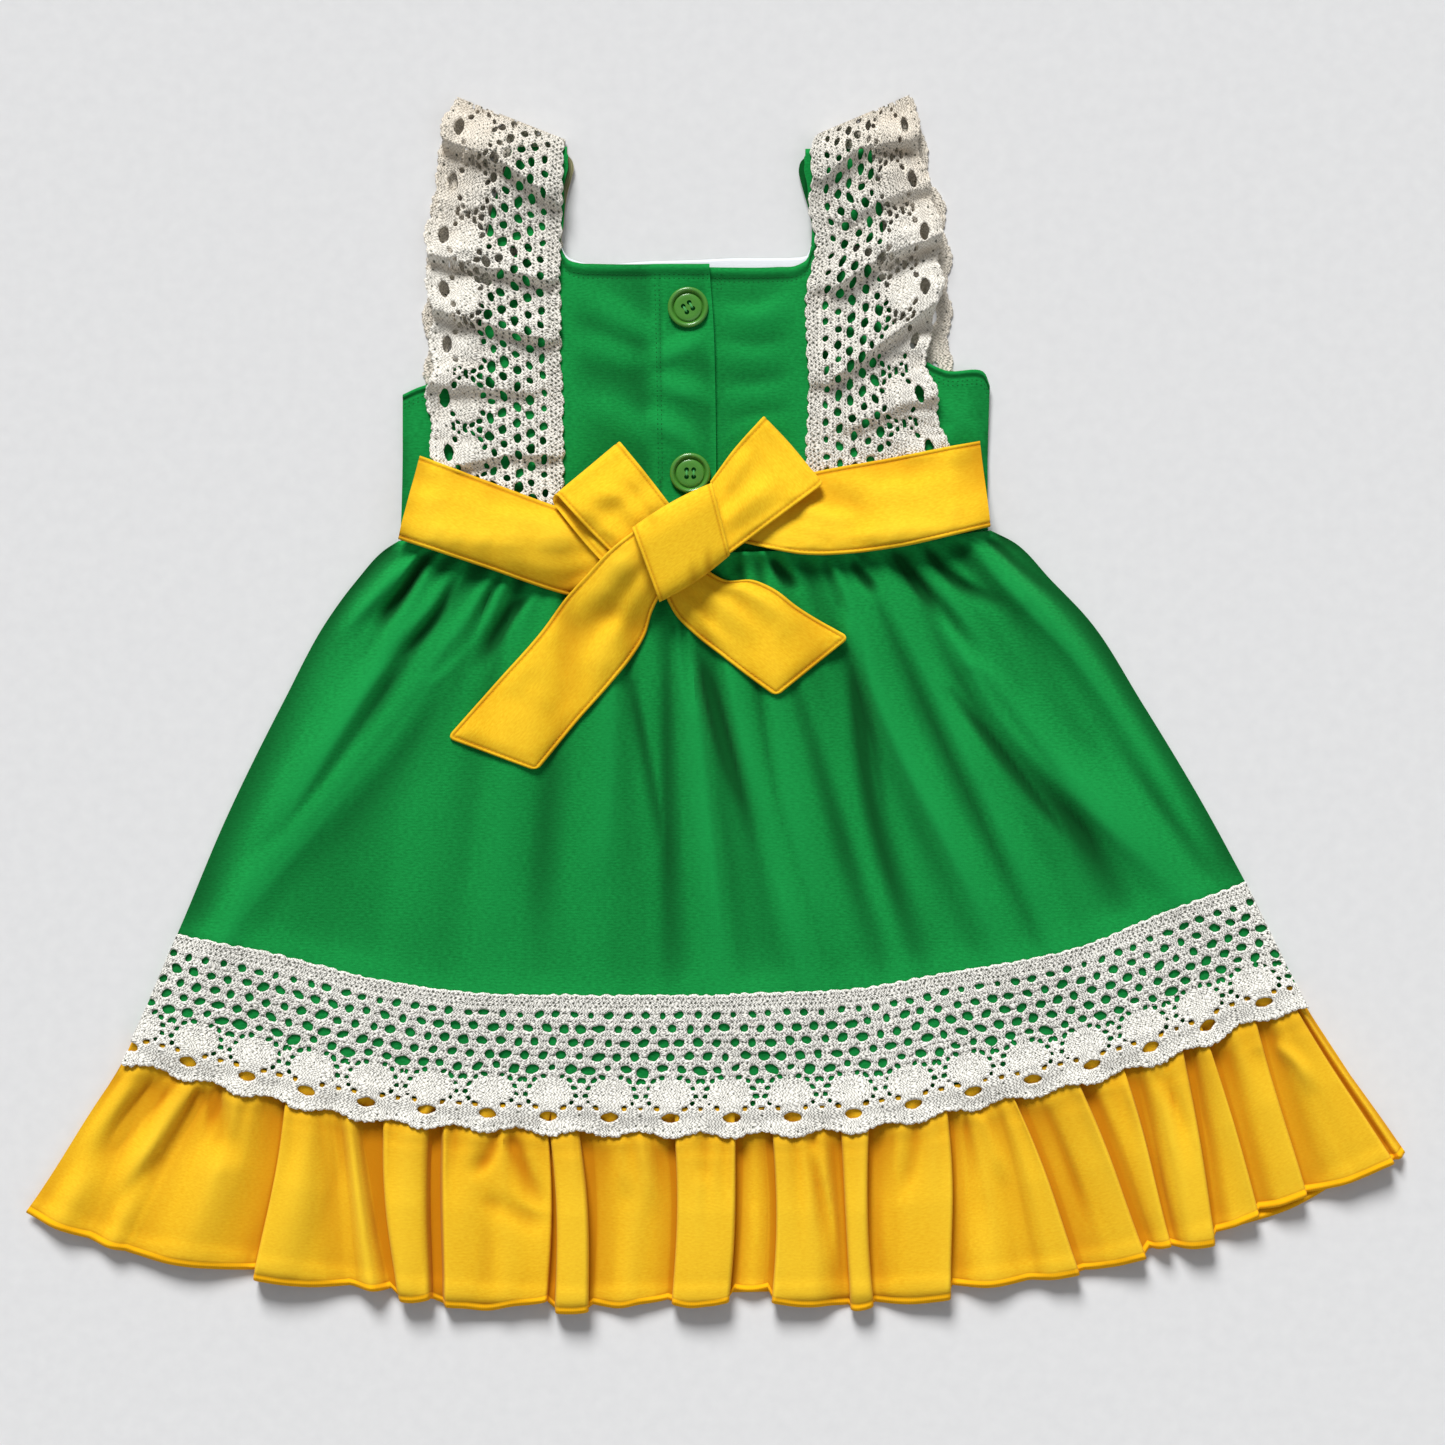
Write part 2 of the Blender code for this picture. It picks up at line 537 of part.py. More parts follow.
def pleat_columns():
    """Columns of the back ruffle: x on the lace edge, hem point, height."""
    columns = []
    for k, (seam_l, seam_r, hem_l, hem_r, y_l, y_r, z_l, z_mid, z_r) in enumerate(PLEATS):
        if k:
            before = PLEATS[k - 1]
            columns.append(((before[1] + seam_l) / 2, (before[3] + hem_l) / 2, (before[5] + y_l) / 2,
                            min(PLEAT_GROOVE, z_l, before[8])))
        for part, height in ((0.0, z_l), (0.5, z_mid), (1.0, z_r)):
            columns.append((seam_l + part * (seam_r - seam_l), hem_l + part * (hem_r - hem_l),
                            y_l + part * (y_r - y_l), height))
    return np.array(columns)


def ruffle_plan(seam_fractions, hem, rows):
    """Points of a ruffle from its seam under the lace to its hem."""
    seam = band_edge(SEAM_RISE - GAP)(seam_fractions)
    edge = path(BAND_FOOT, seam_fractions)
    return np.concatenate([ruled(seam, edge, [0.0]), ruled(edge, hem, rows)])


def ruffle_back(bed):
    """Lay the back ruffle with one groove between each two pleats."""
    columns = pleat_columns()
    fractions = nearest_fraction(BAND_FOOT, columns[:, 0])
    plan = ruffle_plan(fractions, columns[:, 1:3], [row[0] for row in RUFFLE_ROWS])
    parts = np.array([SEAM_HEIGHT] + [row[1] for row in RUFFLE_ROWS])
    lay(bed, "hem_ruffle_back", plan, JERSEY, "yellow_jersey", parts[:, None] * columns[None, :, 3])


def ruffle_front(bed):
    """Lay the front ruffle: its crests lie on the floor, with shallow grooves between."""
    count = FRONT_WAVES * 3
    fractions = np.linspace(0, 1, count + 1)
    plan = ruffle_plan(fractions, path(FRONT_HEM, fractions), [row[0] for row in FRONT_RUFFLE_ROWS])
    wave = np.where(np.arange(count + 1) % 3 == 1, 1.0, 0.0)
    parts = np.array([0.0] + [row[1] for row in FRONT_RUFFLE_ROWS])
    lay(bed, "hem_ruffle_front", plan, JERSEY, "yellow_jersey",
        FRONT_WAVE_HEIGHT * parts[:, None] * wave[None])


def bodice_panel(bed, name, columns, thickness, finish_name, rise=0.0):
    """Lay a bodice panel whose columns run from the waist seam to its upper edge."""
    table = np.array(columns, float)
    waist_y = np.interp(table[:, 2], *path(WAIST, np.linspace(0, 1, CURVE_SAMPLES)).T) + GAP
    foot = np.column_stack([table[:, 2], waist_y])
    head = table[:, :2] + np.array([0, rise])
    parts = np.linspace(0, 1, BODICE_ROWS)
    plan = ruled(foot, head, parts)
    side = np.clip(np.abs(plan[0, :, 0] - plan[0, :, 0].mean()) / HALF_CHEST, 0, 1) ** 4
    inward = -np.sign(plan[:, :, 0]) * SIDE_BOW * side[None] * np.sin(math.pi * parts)[:, None]
    plan[:, :, 0] += inward
    lay(bed, name, plan, thickness, finish_name)


def strap(bed, name, stations):
    """Lay a strap as one band: up on the floor side, over the rolled shoulder fold and back down."""
    table = np.array(stations, float)
    runs = ruled(table[:, [1, 0]], table[:, [2, 0]], np.linspace(0, 1, STRAP_ACROSS)).transpose(1, 0, 2)
    low = bed.below(runs[-1:]).max() + GAP
    seam_top = bed.below(runs[:1]).max()
    high = low + 2 * STRAP_FOLD
    outer, inner = [], []
    for row in runs:
        outer.append((row, low))
        inner.append((row, low + JERSEY))
    for angle in np.radians(STRAP_TURN):
        for side, radius in ((outer, STRAP_FOLD), (inner, STRAP_FOLD - JERSEY)):
            reach = np.array([0.0, radius * math.cos(angle)])
            side.append((runs[-1] + reach, low + STRAP_FOLD + radius * math.sin(angle)))
    for part, row in zip(np.linspace(0, 1, len(runs)), runs[::-1]):
        top = high + (seam_top - high) * smooth_step(part, 0.0, STRAP_DROP)
        outer.append((row, top))
        inner.append((row, top - JERSEY))
    outer, inner = ([np.column_stack([row, np.full(len(row), z)]) for row, z in side]
                    for side in (outer, inner))
    outer, inner = np.array(outer), np.array(inner)
    bed.add(outer, kept_cells(outer.shape))
    return wall(name, outer, inner, "green_jersey")


def strip(bed, name, edges, cells, thickness=SASH, relief=0.0):
    """Lay a flat strip between two edges."""
    fractions = np.linspace(0, 1, cells + 1)
    plan = ruled(path(edges[0], fractions), path(edges[1], fractions), np.linspace(0, 1, BOW_ACROSS))
    return lay(bed, name, plan, thickness, "yellow_jersey", relief, fall=SASH_FALL)


def loop(bed, name, top, foot, under_foot):
    """Lay a bow loop: a lower run out from the knot, an outer fold and an upper run back."""
    fractions = np.linspace(0, 1, LOOP_CELLS + 1)
    across = np.linspace(0, 1, BOW_ACROSS)
    lower = ruled(path(top, fractions), path(under_foot, fractions), across).transpose(1, 0, 2)
    upper = ruled(path(top, fractions), path(foot, fractions), across).transpose(1, 0, 2)
    floor = ease(lower, np.maximum(bed.below(lower), bed.below(upper)) + GAP, SASH_FALL)
    puff = GAP + (LOOP_PUFF - GAP) * smooth_step(fractions, 0.0, LOOP_RISE)[:, None]
    ceiling = (floor.max(axis=1, keepdims=True) + floor) / 2 + SASH + puff
    outer = [np.dstack([lower, floor])]
    inner = [np.dstack([lower, floor + SASH])]
    heading = upper[-1] - upper[-2]
    heading /= np.linalg.norm(heading, axis=1, keepdims=True)
    middle = (floor[-1] + ceiling[-1] + SASH) / 2
    for angle in np.radians(LOOP_TURN):
        corner = lower[-1] + (upper[-1] - lower[-1]) * (0.5 + math.sin(angle) / 2)
        for side, radius in ((outer, middle - floor[-1]), (inner, middle - floor[-1] - SASH)):
            arc = corner + heading * (radius * math.cos(angle))[:, None]
            side.append(np.dstack([arc[None], (middle + radius * math.sin(angle))[None]]))
    outer.append(np.dstack([upper, ceiling + SASH])[::-1])
    inner.append(np.dstack([upper, ceiling])[::-1])
    outer, inner = np.concatenate(outer), np.concatenate(inner)
    bed.add(outer, kept_cells(outer.shape))
    return wall(name, outer, inner, "yellow_jersey")


def knot(bed):
    """Lay the bow's knot, a rounded bundle of cloth over the ends of loops and tails."""
    corners = np.array(KNOT, float)
    parts = np.linspace(0, 1, KNOT_CELLS + 1)
    top = ruled(corners[:1], corners[1:2], parts)[:, 0]
    foot = ruled(corners[3:], corners[2:3], parts)[:, 0]
    plan = ruled(top, foot, parts)
    dome = np.outer(np.sin(math.pi * parts), np.sin(math.pi * parts)) ** KNOT_DOME
    return lay(bed, "bow_knot", plan, SASH, "yellow_jersey", KNOT_HEIGHT * dome, fall=KNOT_FALL)


def button(bed, name, centre):
    """Turn a button with a rounded rim, and cut its four thread holes."""
    turns = np.linspace(0, 2 * math.pi, BUTTON_SIDES, endpoint=False)
    spot = np.array(centre, float)
    base = bed.below(spot + np.zeros((1, 1, 2))).max() + GAP
    rings = BUTTON_PROFILE[1:-1]
    points = [(*spot, base + BUTTON_PROFILE[0][1])]
    for radius, height in rings:
        points += [(spot[0] + radius * math.cos(t), spot[1] + radius * math.sin(t), base + height)
                   for t in turns]
    points.append((*spot, base + BUTTON_PROFILE[-1][1]))
    faces = []
    for k in range(BUTTON_SIDES):
        after = (k + 1) % BUTTON_SIDES
        faces.append((0, 1 + k, 1 + after))
        for ring in range(len(rings) - 1):
            start = 1 + ring * BUTTON_SIDES
            faces.append((start + k, start + BUTTON_SIDES + k, start + BUTTON_SIDES + after, start + after))
        last = 1 + (len(rings) - 1) * BUTTON_SIDES
        faces.append((last + after, last + k, len(points) - 1))
    item = add_mesh(name, points, faces, "green_button")
    for k in range(4):
        angle = math.radians(45 + 90 * k)
        hole_at = (spot[0] + HOLE_OFFSET * math.cos(angle), spot[1] + HOLE_OFFSET * math.sin(angle))
        drill(item, f"{name}_hole_{k}", (*hole_at, base))
    return item


def drill(item, name, place):
    """Cut one thread hole through a button."""
    bpy.ops.mesh.primitive_cylinder_add(vertices=HOLE_SIDES, radius=HOLE_RADIUS * MM,
                                        depth=HOLE_DEPTH * MM,
                                        location=world(place).tolist())
    cutter = bpy.context.object
    cutter.name = name
    cutter.hide_render = True
    cutter.display_type = "WIRE"
    cut = item.modifiers.new("thread hole", "BOOLEAN")
    cut.operation = "DIFFERENCE"
    cut.object = cutter


def build():
    """Lay every piece from the floor up."""
    clear_scene()
    bed = Bed()
    shoulder_lace(bed, "shoulder_lace_left_front", LACE_LEFT_INNER, LACE_LEFT_OUTER_FRONT)
    shoulder_lace(bed, "shoulder_lace_right_front", LACE_RIGHT_INNER, LACE_RIGHT_OUTER_FRONT)
    hem_lace(bed, "hem_lace_front")
    ruffle_front(bed)
    lay(bed, "skirt_front", skirt_plan(*FRONT_CELLS), JERSEY, "green_jersey")
    front = BODICE_LEFT_SIDE[:-1] + FRONT_NECK + BODICE_RIGHT_SIDE[1:]
    bodice_panel(bed, "front_bodice", front, JERSEY, "green_jersey")
    bodice_panel(bed, "front_bodice_lining", front, LINING, "white_lining", LINING_RISE)
    bodice_panel(bed, "back_bodice_right", BACK_NECK_RIGHT + BODICE_RIGHT_SIDE[1:], JERSEY, "green_jersey")
    bodice_panel(bed, "back_bodice_left", BODICE_LEFT_SIDE[:-1] + BACK_NECK_LEFT, JERSEY, "green_jersey")
    strap(bed, "strap_left", STRAP_LEFT)
    strap(bed, "strap_right", STRAP_RIGHT)
    skirt_back(bed)
    ruffle_back(bed)
    hem_lace(bed, "hem_lace_back")
    shoulder_lace(bed, "shoulder_lace_left_back", LACE_LEFT_INNER, LACE_LEFT_OUTER, FLUTTER_FOLDS_LEFT)
    shoulder_lace(bed, "shoulder_lace_right_back", LACE_RIGHT_INNER, LACE_RIGHT_OUTER, FLUTTER_FOLDS_RIGHT)
    for name, centre in BUTTONS.items():
        button(bed, name, centre)
    strip(bed, "sash_left", (SASH_LEFT_TOP, SASH_LEFT_FOOT), SASH_CELLS)
    strip(bed, "sash_right", (SASH_RIGHT_TOP, SASH_RIGHT_FOOT), SASH_CELLS)
    loop(bed, "bow_loop_left", LOOP_LEFT_TOP, LOOP_LEFT_FOOT, LOOP_LEFT_UNDER_FOOT)
    loop(bed, "bow_loop_right", LOOP_RIGHT_TOP, LOOP_RIGHT_FOOT, LOOP_RIGHT_UNDER_FOOT)
    strip(bed, "bow_tail_right", (TAIL_RIGHT_TOP, TAIL_RIGHT_FOOT), TAIL_CELLS)
    strip(bed, "bow_tail_left", (TAIL_LEFT_TOP, TAIL_LEFT_FOOT), TAIL_CELLS)
    knot(bed)


build()
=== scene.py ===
"""Looks of a small child's ruffle dress that lies flat with its back up.

Sizes are millimetres on the laid dress and turn into metres where a mesh is made. X runs across the dress,
Y toward the shoulders, counted from a line MIDDLE_Y away from the origin, and Z up. Left and right are the
wearer's. Every cloth is laid on a bed that holds the height of what lies below it, from the floor up.
"""
import logging
import math
from collections.abc import Callable, Sequence
from dataclasses import dataclass, field
from enum import Enum

import bpy
import numpy as np
from numpy.linalg import norm
from numpy.typing import NDArray
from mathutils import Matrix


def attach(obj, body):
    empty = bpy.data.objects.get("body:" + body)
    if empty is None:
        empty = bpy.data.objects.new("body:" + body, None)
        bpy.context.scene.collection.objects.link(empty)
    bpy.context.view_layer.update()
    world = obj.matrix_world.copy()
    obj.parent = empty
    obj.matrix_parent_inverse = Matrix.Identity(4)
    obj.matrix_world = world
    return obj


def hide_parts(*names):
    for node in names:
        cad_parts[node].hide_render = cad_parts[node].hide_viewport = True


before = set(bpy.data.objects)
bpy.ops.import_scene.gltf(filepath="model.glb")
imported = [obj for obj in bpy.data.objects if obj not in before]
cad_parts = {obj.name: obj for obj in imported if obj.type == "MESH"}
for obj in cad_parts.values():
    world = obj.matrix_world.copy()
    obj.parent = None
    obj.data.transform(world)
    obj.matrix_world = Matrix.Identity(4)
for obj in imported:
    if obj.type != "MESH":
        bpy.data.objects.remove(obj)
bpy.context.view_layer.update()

Grid = NDArray[np.float64]
Mask = NDArray[np.bool_]
Faces = NDArray[np.int64]
Points = Sequence[Sequence[float]]
Rows = tuple[tuple[float, ...], ...]
Edge = Callable[[Grid], Grid]
Colour = tuple[float, float, float]
Socket = bpy.types.NodeSocket
Inputs = dict[str | int, object]
Piece = bpy.types.Object

LOG = logging.getLogger("ruffle_dress")

MM = 0.001
MIDDLE_Y = -2.13
GAP = 0.3  # air between layers
BARE = 0.05  # lower than this, there is only floor
LEAST = 0.15  # thickness that a squeezed cloth keeps
NO_FLOOR = -99.0
JERSEY = 0.9
LACE = 0.9
BAND_WIDTH = 68.0
INSET = 1.9  # from a ribbon's edge to its stitches
SEAM_RISE = 13.0  # from the lace's lower edge up to the ruffle seam
FOLD_ARC = 75.0  # degrees that a folded cloth is rolled, each way

# Edges of the laid dress: x, y
SKIRT_LEFT = [(-152, 76), (-159, 72), (-173, 57), (-187, 38), (-208, -1), (-236, -58), (-259, -113)]
SKIRT_RIGHT = [(132, 81), (143, 76), (162, 57), (180, 38), (205, -1), (239, -58), (255, -88)]
WAIST = [(-152, 76), (-70, 72), (18, 70.5), (80, 74), (132, 81)]
BAND_TOP = [(-259, -113), (-219, -120.5), (-163, -134), (-140, -138), (-55, -142), (31, -140.5),
            (74, -138), (103, -132.5), (175, -118.5), (218, -101), (255, -88)]
BAND_FOOT = [(-285, -174), (-228, -188.5), (-171, -201), (-99, -207), (-12, -209), (74, -206),
             (125, -196), (182, -183), (233, -166.5), (261, -154), (285, -149)]
FRONT_HEM = [(-330, -246), (-294, -260), (-228, -271), (-150, -283), (-70, -288), (10, -286),
             (100, -283), (170, -273), (232, -259), (283, -243), (306, -229), (330, -218)]

# Folds of the back skirt, as every table of folds has them; a trough has a negative height
SKIRT_FOLDS = [
    # x0, y0, x1, y1, x2, y2, height, left, right, spread
    (-146, 66, -163, 50, -180, 34, 4.5, 3.6, 6, 1.4),
    (-124, 60, -160, 14, -212, -66, 5.8, 4.2, 8, 1.8),
    (-104, 54, -142, -1, -228, -104, 6.6, 4.6, 9, 1.9),
    (-80, 50, -98, -40, -112, -132, 4.0, 13, 10, 1.5),
    (-50, 45, -50, -29, -55, -90, 4.0, 5, 10, 1.6),
    (-15, 43, -7, -29, 3, -128, 5.6, 4.0, 8, 1.7),
    (1, 43, 18, -44, 44, -133, 5.0, 8, 4.2, 1.7),
    (22, 45, 38, -63, 58, -127, 4.0, 9, 5, 1.5),
    (56, 62, 76, 4, 130, -106, 6.4, 10, 4.2, 1.7),
    (74, 65, 113, -13, 161, -113, 5.0, 8, 4.2, 1.6),
    (97, 66, 137, -8, 215, -85, 6.8, 11, 4.4, 1.8),
    (126, 69, 171, 21, 240, -74, 5.5, 9, 4.2, 1.6),
    (-16, 41, -14, 20, -12, -1, -2.4, 1.8, 2.2, 1.5),
    (-40, 7, -31, -38, -22, -83, -2.0, 2.0, 2.8, 1.6),
    (66, 41, 75, -20, 85, -83, -2.0, 2.4, 2.8, 1.5),
    (113, 3, 148, -40, 184, -83, -2.2, 2.4, 3.0, 1.6),
    (-22, 43, -23, -30, -22, -128, -2.2, 5, 3, 1.7),
    (-13, 30, 3, -16, 29, -86, -3.2, 4, 4, 1.8),
    (66, 20, 75, -52, 99, -130, -3.2, 5, 4, 1.7),
    (125, 12, 165, -45, 198, -105, -3.2, 4, 6, 2.0),
    (153, 42, 197, -17, 234, -83, -3.2, 5, 5, 1.8),
    (30, 30, 52, -40, 80, -128, -2.2, 4, 5, 1.5),
    (-115, 32, -158, -22, -218, -98, -3.0, 4, 5, 1.8),
    (-70, 20, -80, -40, -86, -110, -2.2, 6, 6, 1.6),
    (52, 67, 58, 51, 64, 35, -4.0, 2.2, 2.6, 1.6),
    (85, 70, 105, 47, 127, 21, -5.0, 2.2, 3.4, 2.2),
    (98, 74, 115, 57, 133, 47, -3.5, 2.0, 3.0, 1.6),
    (26, 68, 31, 61, 38, 54, -3.5, 2.0, 2.0, 1.6),
    (65, 67, 70, 59, 76, 52, -3.5, 2.0, 2.2, 1.6),
    (130, 79, 149, 62, 170, 47, -3.5, 3.0, 2.6, 1.6),
    (-140, 67, -150, 51, -161, 37, -4.0, 2.8, 2.4, 1.5),
    (-123, 61, -135, 39, -153, 19, -4.0, 2.2, 2.8, 1.8),
    (-104, 57, -119, 30, -139, 4, -4.5, 2.4, 3.0, 2.0),
    (-89, 50, -99, 39, -112, 19, -3.5, 2.2, 3.0, 1.8),
    (-62, 52, -66, 30, -72, 8, -3.0, 2.4, 3.0, 1.8),
]

# Creases of the back ruffle, starting from the gathers under the lace
RUFFLE_CREASES = [
    (-262, -182, -281, -202, -306, -232, -4.5, 5, 5, 1.7),
    (-249, -190, -262, -212, -282, -240, -4.0, 6, 3, 1.7),
    (-254, -190, -268, -212, -288, -238, 2.6, 3, 4, 1.6),
    (-241, -193, -239, -206, -236, -222, -3.6, 5, 6, 1.6),
    (-228, -190, -236, -225, -246, -262, 1.8, 6, 7, 1.5),
    (-195, -202, -199, -231, -204, -269, 2.0, 6, 6, 1.5),
    (-105, -208, -110, -221, -118, -229, -2.8, 3, 4, 1.2),
    (-98, -213, -91, -231, -84, -247, -2.4, 3, 4, 1.6),
    (-107, -242, -94, -248, -81, -253, -1.6, 5, 5, 1.2),
    (-58, -212, -57, -225, -56, -240, 2.0, 3, 3, 1.6),
    (-46, -212, -46, -224, -45, -238, 1.8, 3, 3, 1.6),
    (-35, -212, -33, -226, -31, -244, 2.0, 3, 3, 1.6),
    (-8, -212, -8, -222, -7, -232, -1.6, 3, 3, 1.4),
    (16, -246, 18, -255, 20, -265, 1.2, 3, 3, 1.3),
    (44, -212, 48, -236, 52, -263, -2.6, 3.4, 3, 1.6),
    (47, -217, 54, -240, 62, -279, 2.2, 3, 3, 1.4),
    (79, -207, 78, -231, 81, -269, 2.0, 4, 4, 1.4),
    (96, -205, 94, -224, 91, -240, -2.4, 3, 3.4, 1.4),
    (119, -203, 125, -236, 131, -266, -2.4, 3, 4, 1.5),
    (128, -203, 132, -216, 136, -231, 2.2, 3, 3, 1.5),
    (156, -195, 166, -221, 178, -252, -2.2, 3, 4, 1.5),
    (197, -186, 210, -222, 221, -258, 2.4, 4, 3, 1.4),
    (212, -180, 222, -200, 226, -222, -2.0, 3, 3, 1.4),
    (272, -168, 281, -176, 287, -187, 2.2, 3, 3, 1.5),
    (262, -172, 272, -196, 282, -222, -1.6, 4, 5, 1.5),
]

# Pleats of the back ruffle, left to right: seam x, hem x, hem y and heights
PLEATS = [
    # seam_l, seam_r, hem_l, hem_r, y_l, y_r, z_l, z_mid, z_r
    (-284, -268, -332, -302, -247.5, -259.5, 1.0, 4.0, 3.0),
    (-264, -246, -299, -284, -261.0, -266.0, 2.6, 3.6, 4.0),
    (-245, -208, -283, -222, -266.5, -274.5, 3.8, 5.0, 3.0),
    (-206, -185, -221, -176, -278.5, -282.5, 7.5, 6.5, 3.0),
    (-182, -170, -174, -156, -283.0, -283.7, 4.0, 6.0, 3.5),
    (-159, -138, -151, -138, -290.0, -288.5, 5.5, 7.5, 5.5),
    (-130, -81, -129, -82, -292.5, -289.5, 6.0, 4.5, 5.0),
    (-79, -66, -76, -62, -295.2, -294.7, 6.5, 7.5, 7.0),
    (-60, -23, -59, -23, -292.0, -289.5, 2.0, 3.0, 1.5),
    (-19, 9, -20, 5.5, -290.5, -290.0, 6.5, 6.5, 6.5),
    (13, 24, 9, 25, -285.0, -284.6, 0.8, 1.0, 0.8),
    (28, 59, 28, 64, -290.4, -291.5, 6.5, 5.0, 4.0),
    (61, 73, 66, 75, -293.0, -292.5, 5.5, 7.0, 6.0),
    (76, 111, 77, 112, -291.0, -288.5, 2.5, 4.0, 6.5),
    (114, 131, 114, 150, -282.0, -279.5, 1.2, 4.0, 3.0),
    (133, 143, 153, 174, -279.3, -276.0, 3.0, 5.0, 6.5),
    (147, 174, 178, 206, -274.5, -268.5, 1.5, 3.0, 6.5),
    (177, 196, 209, 218, -263.5, -262.8, 1.5, 3.5, 5.5),
    (200, 224, 220, 239, -263.0, -261.5, 3.0, 5.5, 6.5),
    (228, 236, 241, 260, -256.0, -247.5, 2.0, 4.0, 7.0),
    (239, 259, 262, 283, -245.0, -238.0, 2.0, 4.5, 7.0),
    (262, 279, 285, 325, -237.0, -222.5, 1.5, 5.0, 5.5),
    (280, 284, 327, 332, -221.5, -218.0, 2.5, 2.5, 1.2),
]

# Bodice panels, one row for each column of cloth: x and y on the upper edge, x at the waist
BODICE_LEFT_SIDE = [
    (-150.5, 146.5, -151.5), (-144, 149.5, -144), (-137, 152, -136), (-127.5, 157, -128),
    (-120, 166.5, -122), (-114.5, 179.5, -117), (-112.3, 191.5, -113), (-111, 217, -109),
]
BODICE_RIGHT_SIDE = [
    (81, 218, 76), (82.3, 196, 80), (85, 183, 86), (91, 171.5, 93), (100.5, 163, 102),
    (111, 158, 112), (129.5, 157, 125), (132, 151, 131),
]
BACK_NECK_LEFT = [(-74.2, 217, -74), (-71.8, 212.2, -70), (-65, 209.7, -62), (-58, 209.5, -56),
                  (-32, 209.3, -32), (-1.5, 209.3, 0.5)]
BACK_NECK_RIGHT = [(-27, 208, -27), (-3, 207.9, -3), (6, 207.8, 6), (30, 208, 29), (39, 208.6, 37),
                   (44.3, 212, 42), (46, 218, 45)]
FRONT_NECK = [(-74.2, 217, -74), (-71.8, 212.6, -70), (-66, 210, -62), (-30, 210.2, -30), (-6, 210.9, -6),
              (6, 211.5, 6), (28, 211.6, 27), (38, 211.8, 36), (44.5, 213, 42), (46, 218, 45)]

# Shallow pulls in the back bodice
BODICE_FOLDS = [
    (-24, 172, -48, 184, -74, 202, 2.2, 5, 7, 1.6),
    (-30, 160, -52, 166, -74, 178, 1.8, 5, 7, 1.4),
    (-4, 174, -20, 166, -38, 160, 1.8, 4, 6, 1.3),
    (-2, 144, -18, 148, -34, 158, 1.6, 4, 6, 1.2),
    (-28, 120, -46, 136, -72, 146, 1.8, 6, 7, 1.5),
    (-10, 122, -28, 132, -48, 138, 1.3, 4, 5, 1.3),
    (2, 186, 20, 184, 42, 196, 2.4, 5, 7, 1.3),
    (0, 168, 20, 164, 42, 170, 1.8, 5, 6, 1.3),
    (2, 146, 20, 146, 42, 152, 1.6, 5, 6, 1.3),
    (6, 126, 22, 132, 42, 134, 1.4, 5, 6, 1.3),
    (108, 146, 118, 134, 132, 126, 1.4, 4, 6, 1.2),
    (108, 120, 116, 132, 126, 148, 1.2, 4, 5, 1.2),
]

# Straps, one row for each station from the bodice up to the shoulder fold: y, inner x, outer x
STRAP_LEFT = [(217.3, -75.5, -111), (225, -73.6, -109.5), (237, -72.4, -107), (244.3, -71.2, -104.5),
              (251, -69.4, -102), (256, -68.3, -100.5), (260, -69.4, -99), (262, -71.4, -98)]
STRAP_RIGHT = [(218.3, 46, 81), (226, 46.4, 80.5), (234, 45.4, 80), (242, 43.2, 79), (249, 41.2, 77.5),
               (255, 40.1, 76), (259, 41.2, 75.2), (261, 43.2, 75)]

# Shoulder lace: edge along the bodice and fluttering edge, from the fold to the waist: x, y
LACE_LEFT_INNER = [(-72.2, 269.5), (-73.7, 239.5), (-74.6, 191.5), (-73.2, 143.5), (-72.7, 95.5),
                   (-72.7, 73)]
LACE_LEFT_OUTER = [(-125.5, 290.5), (-132, 267), (-133.7, 245), (-139, 217.5), (-137, 191.5),
                   (-136.6, 157), (-138, 136), (-135, 116.5), (-134, 77)]
LACE_LEFT_OUTER_FRONT = [(-124, 289), (-131, 267), (-135, 245), (-137, 217.5), (-139.5, 191.5),
                         (-139, 157), (-137, 136), (-134, 116.5), (-133, 77)]
LACE_RIGHT_INNER = [(48.6, 272), (45.6, 263), (46.2, 250), (44.9, 236), (47.4, 225), (48.2, 217), (46.0, 208),
                    (43.4, 191.5), (43.2, 176), (44.8, 153), (43.6, 130), (43.9, 110), (43.9, 74)]
LACE_RIGHT_OUTER = [(94.5, 291.5), (96.7, 279), (100.6, 253.4), (105.4, 238.6), (108, 214.5),
                    (107.5, 191.5), (101.5, 168), (105.4, 145.5), (109.2, 128.6), (110.4, 122),
                    (112.5, 79)]
LACE_RIGHT_OUTER_FRONT = [(93.5, 290), (98.6, 279), (103, 253.4), (109.2, 238.6), (112.3, 214.5),
                          (112.6, 187), (113, 161.5), (110, 143.5), (108, 122), (110, 79)]
FLUTTER_FOLDS_LEFT = [
    (-76, 238, -101, 256, -133, 270, 7.5, 2.6, 12, 1.3),
    (-80, 201, -104, 206, -139, 214, 6.5, 2.4, 10, 1.3),
    (-80, 172, -106, 179, -138, 188, 6.5, 2.4, 11, 1.3),
    (-88, 148, -112, 150, -137, 152, 3.5, 3.0, 9, 1.3),
    (-76, 117, -100, 117, -132, 110, 4.0, 2.4, 8, 1.2),
]
FLUTTER_FOLDS_RIGHT = [
    (52, 250, 66, 262, 94, 268, 5.5, 8, 2.6, 1.3),
    (62, 230, 80, 240, 104, 248, 3.5, 9, 3.6, 1.3),
    (56, 197, 81, 212, 108, 223, 7.0, 11, 2.4, 1.3),
    (54, 152, 78, 170, 105, 190, 7.5, 12, 2.4, 1.3),
    (66, 130, 84, 140, 106, 146, 4.0, 8, 3, 1.3),
]

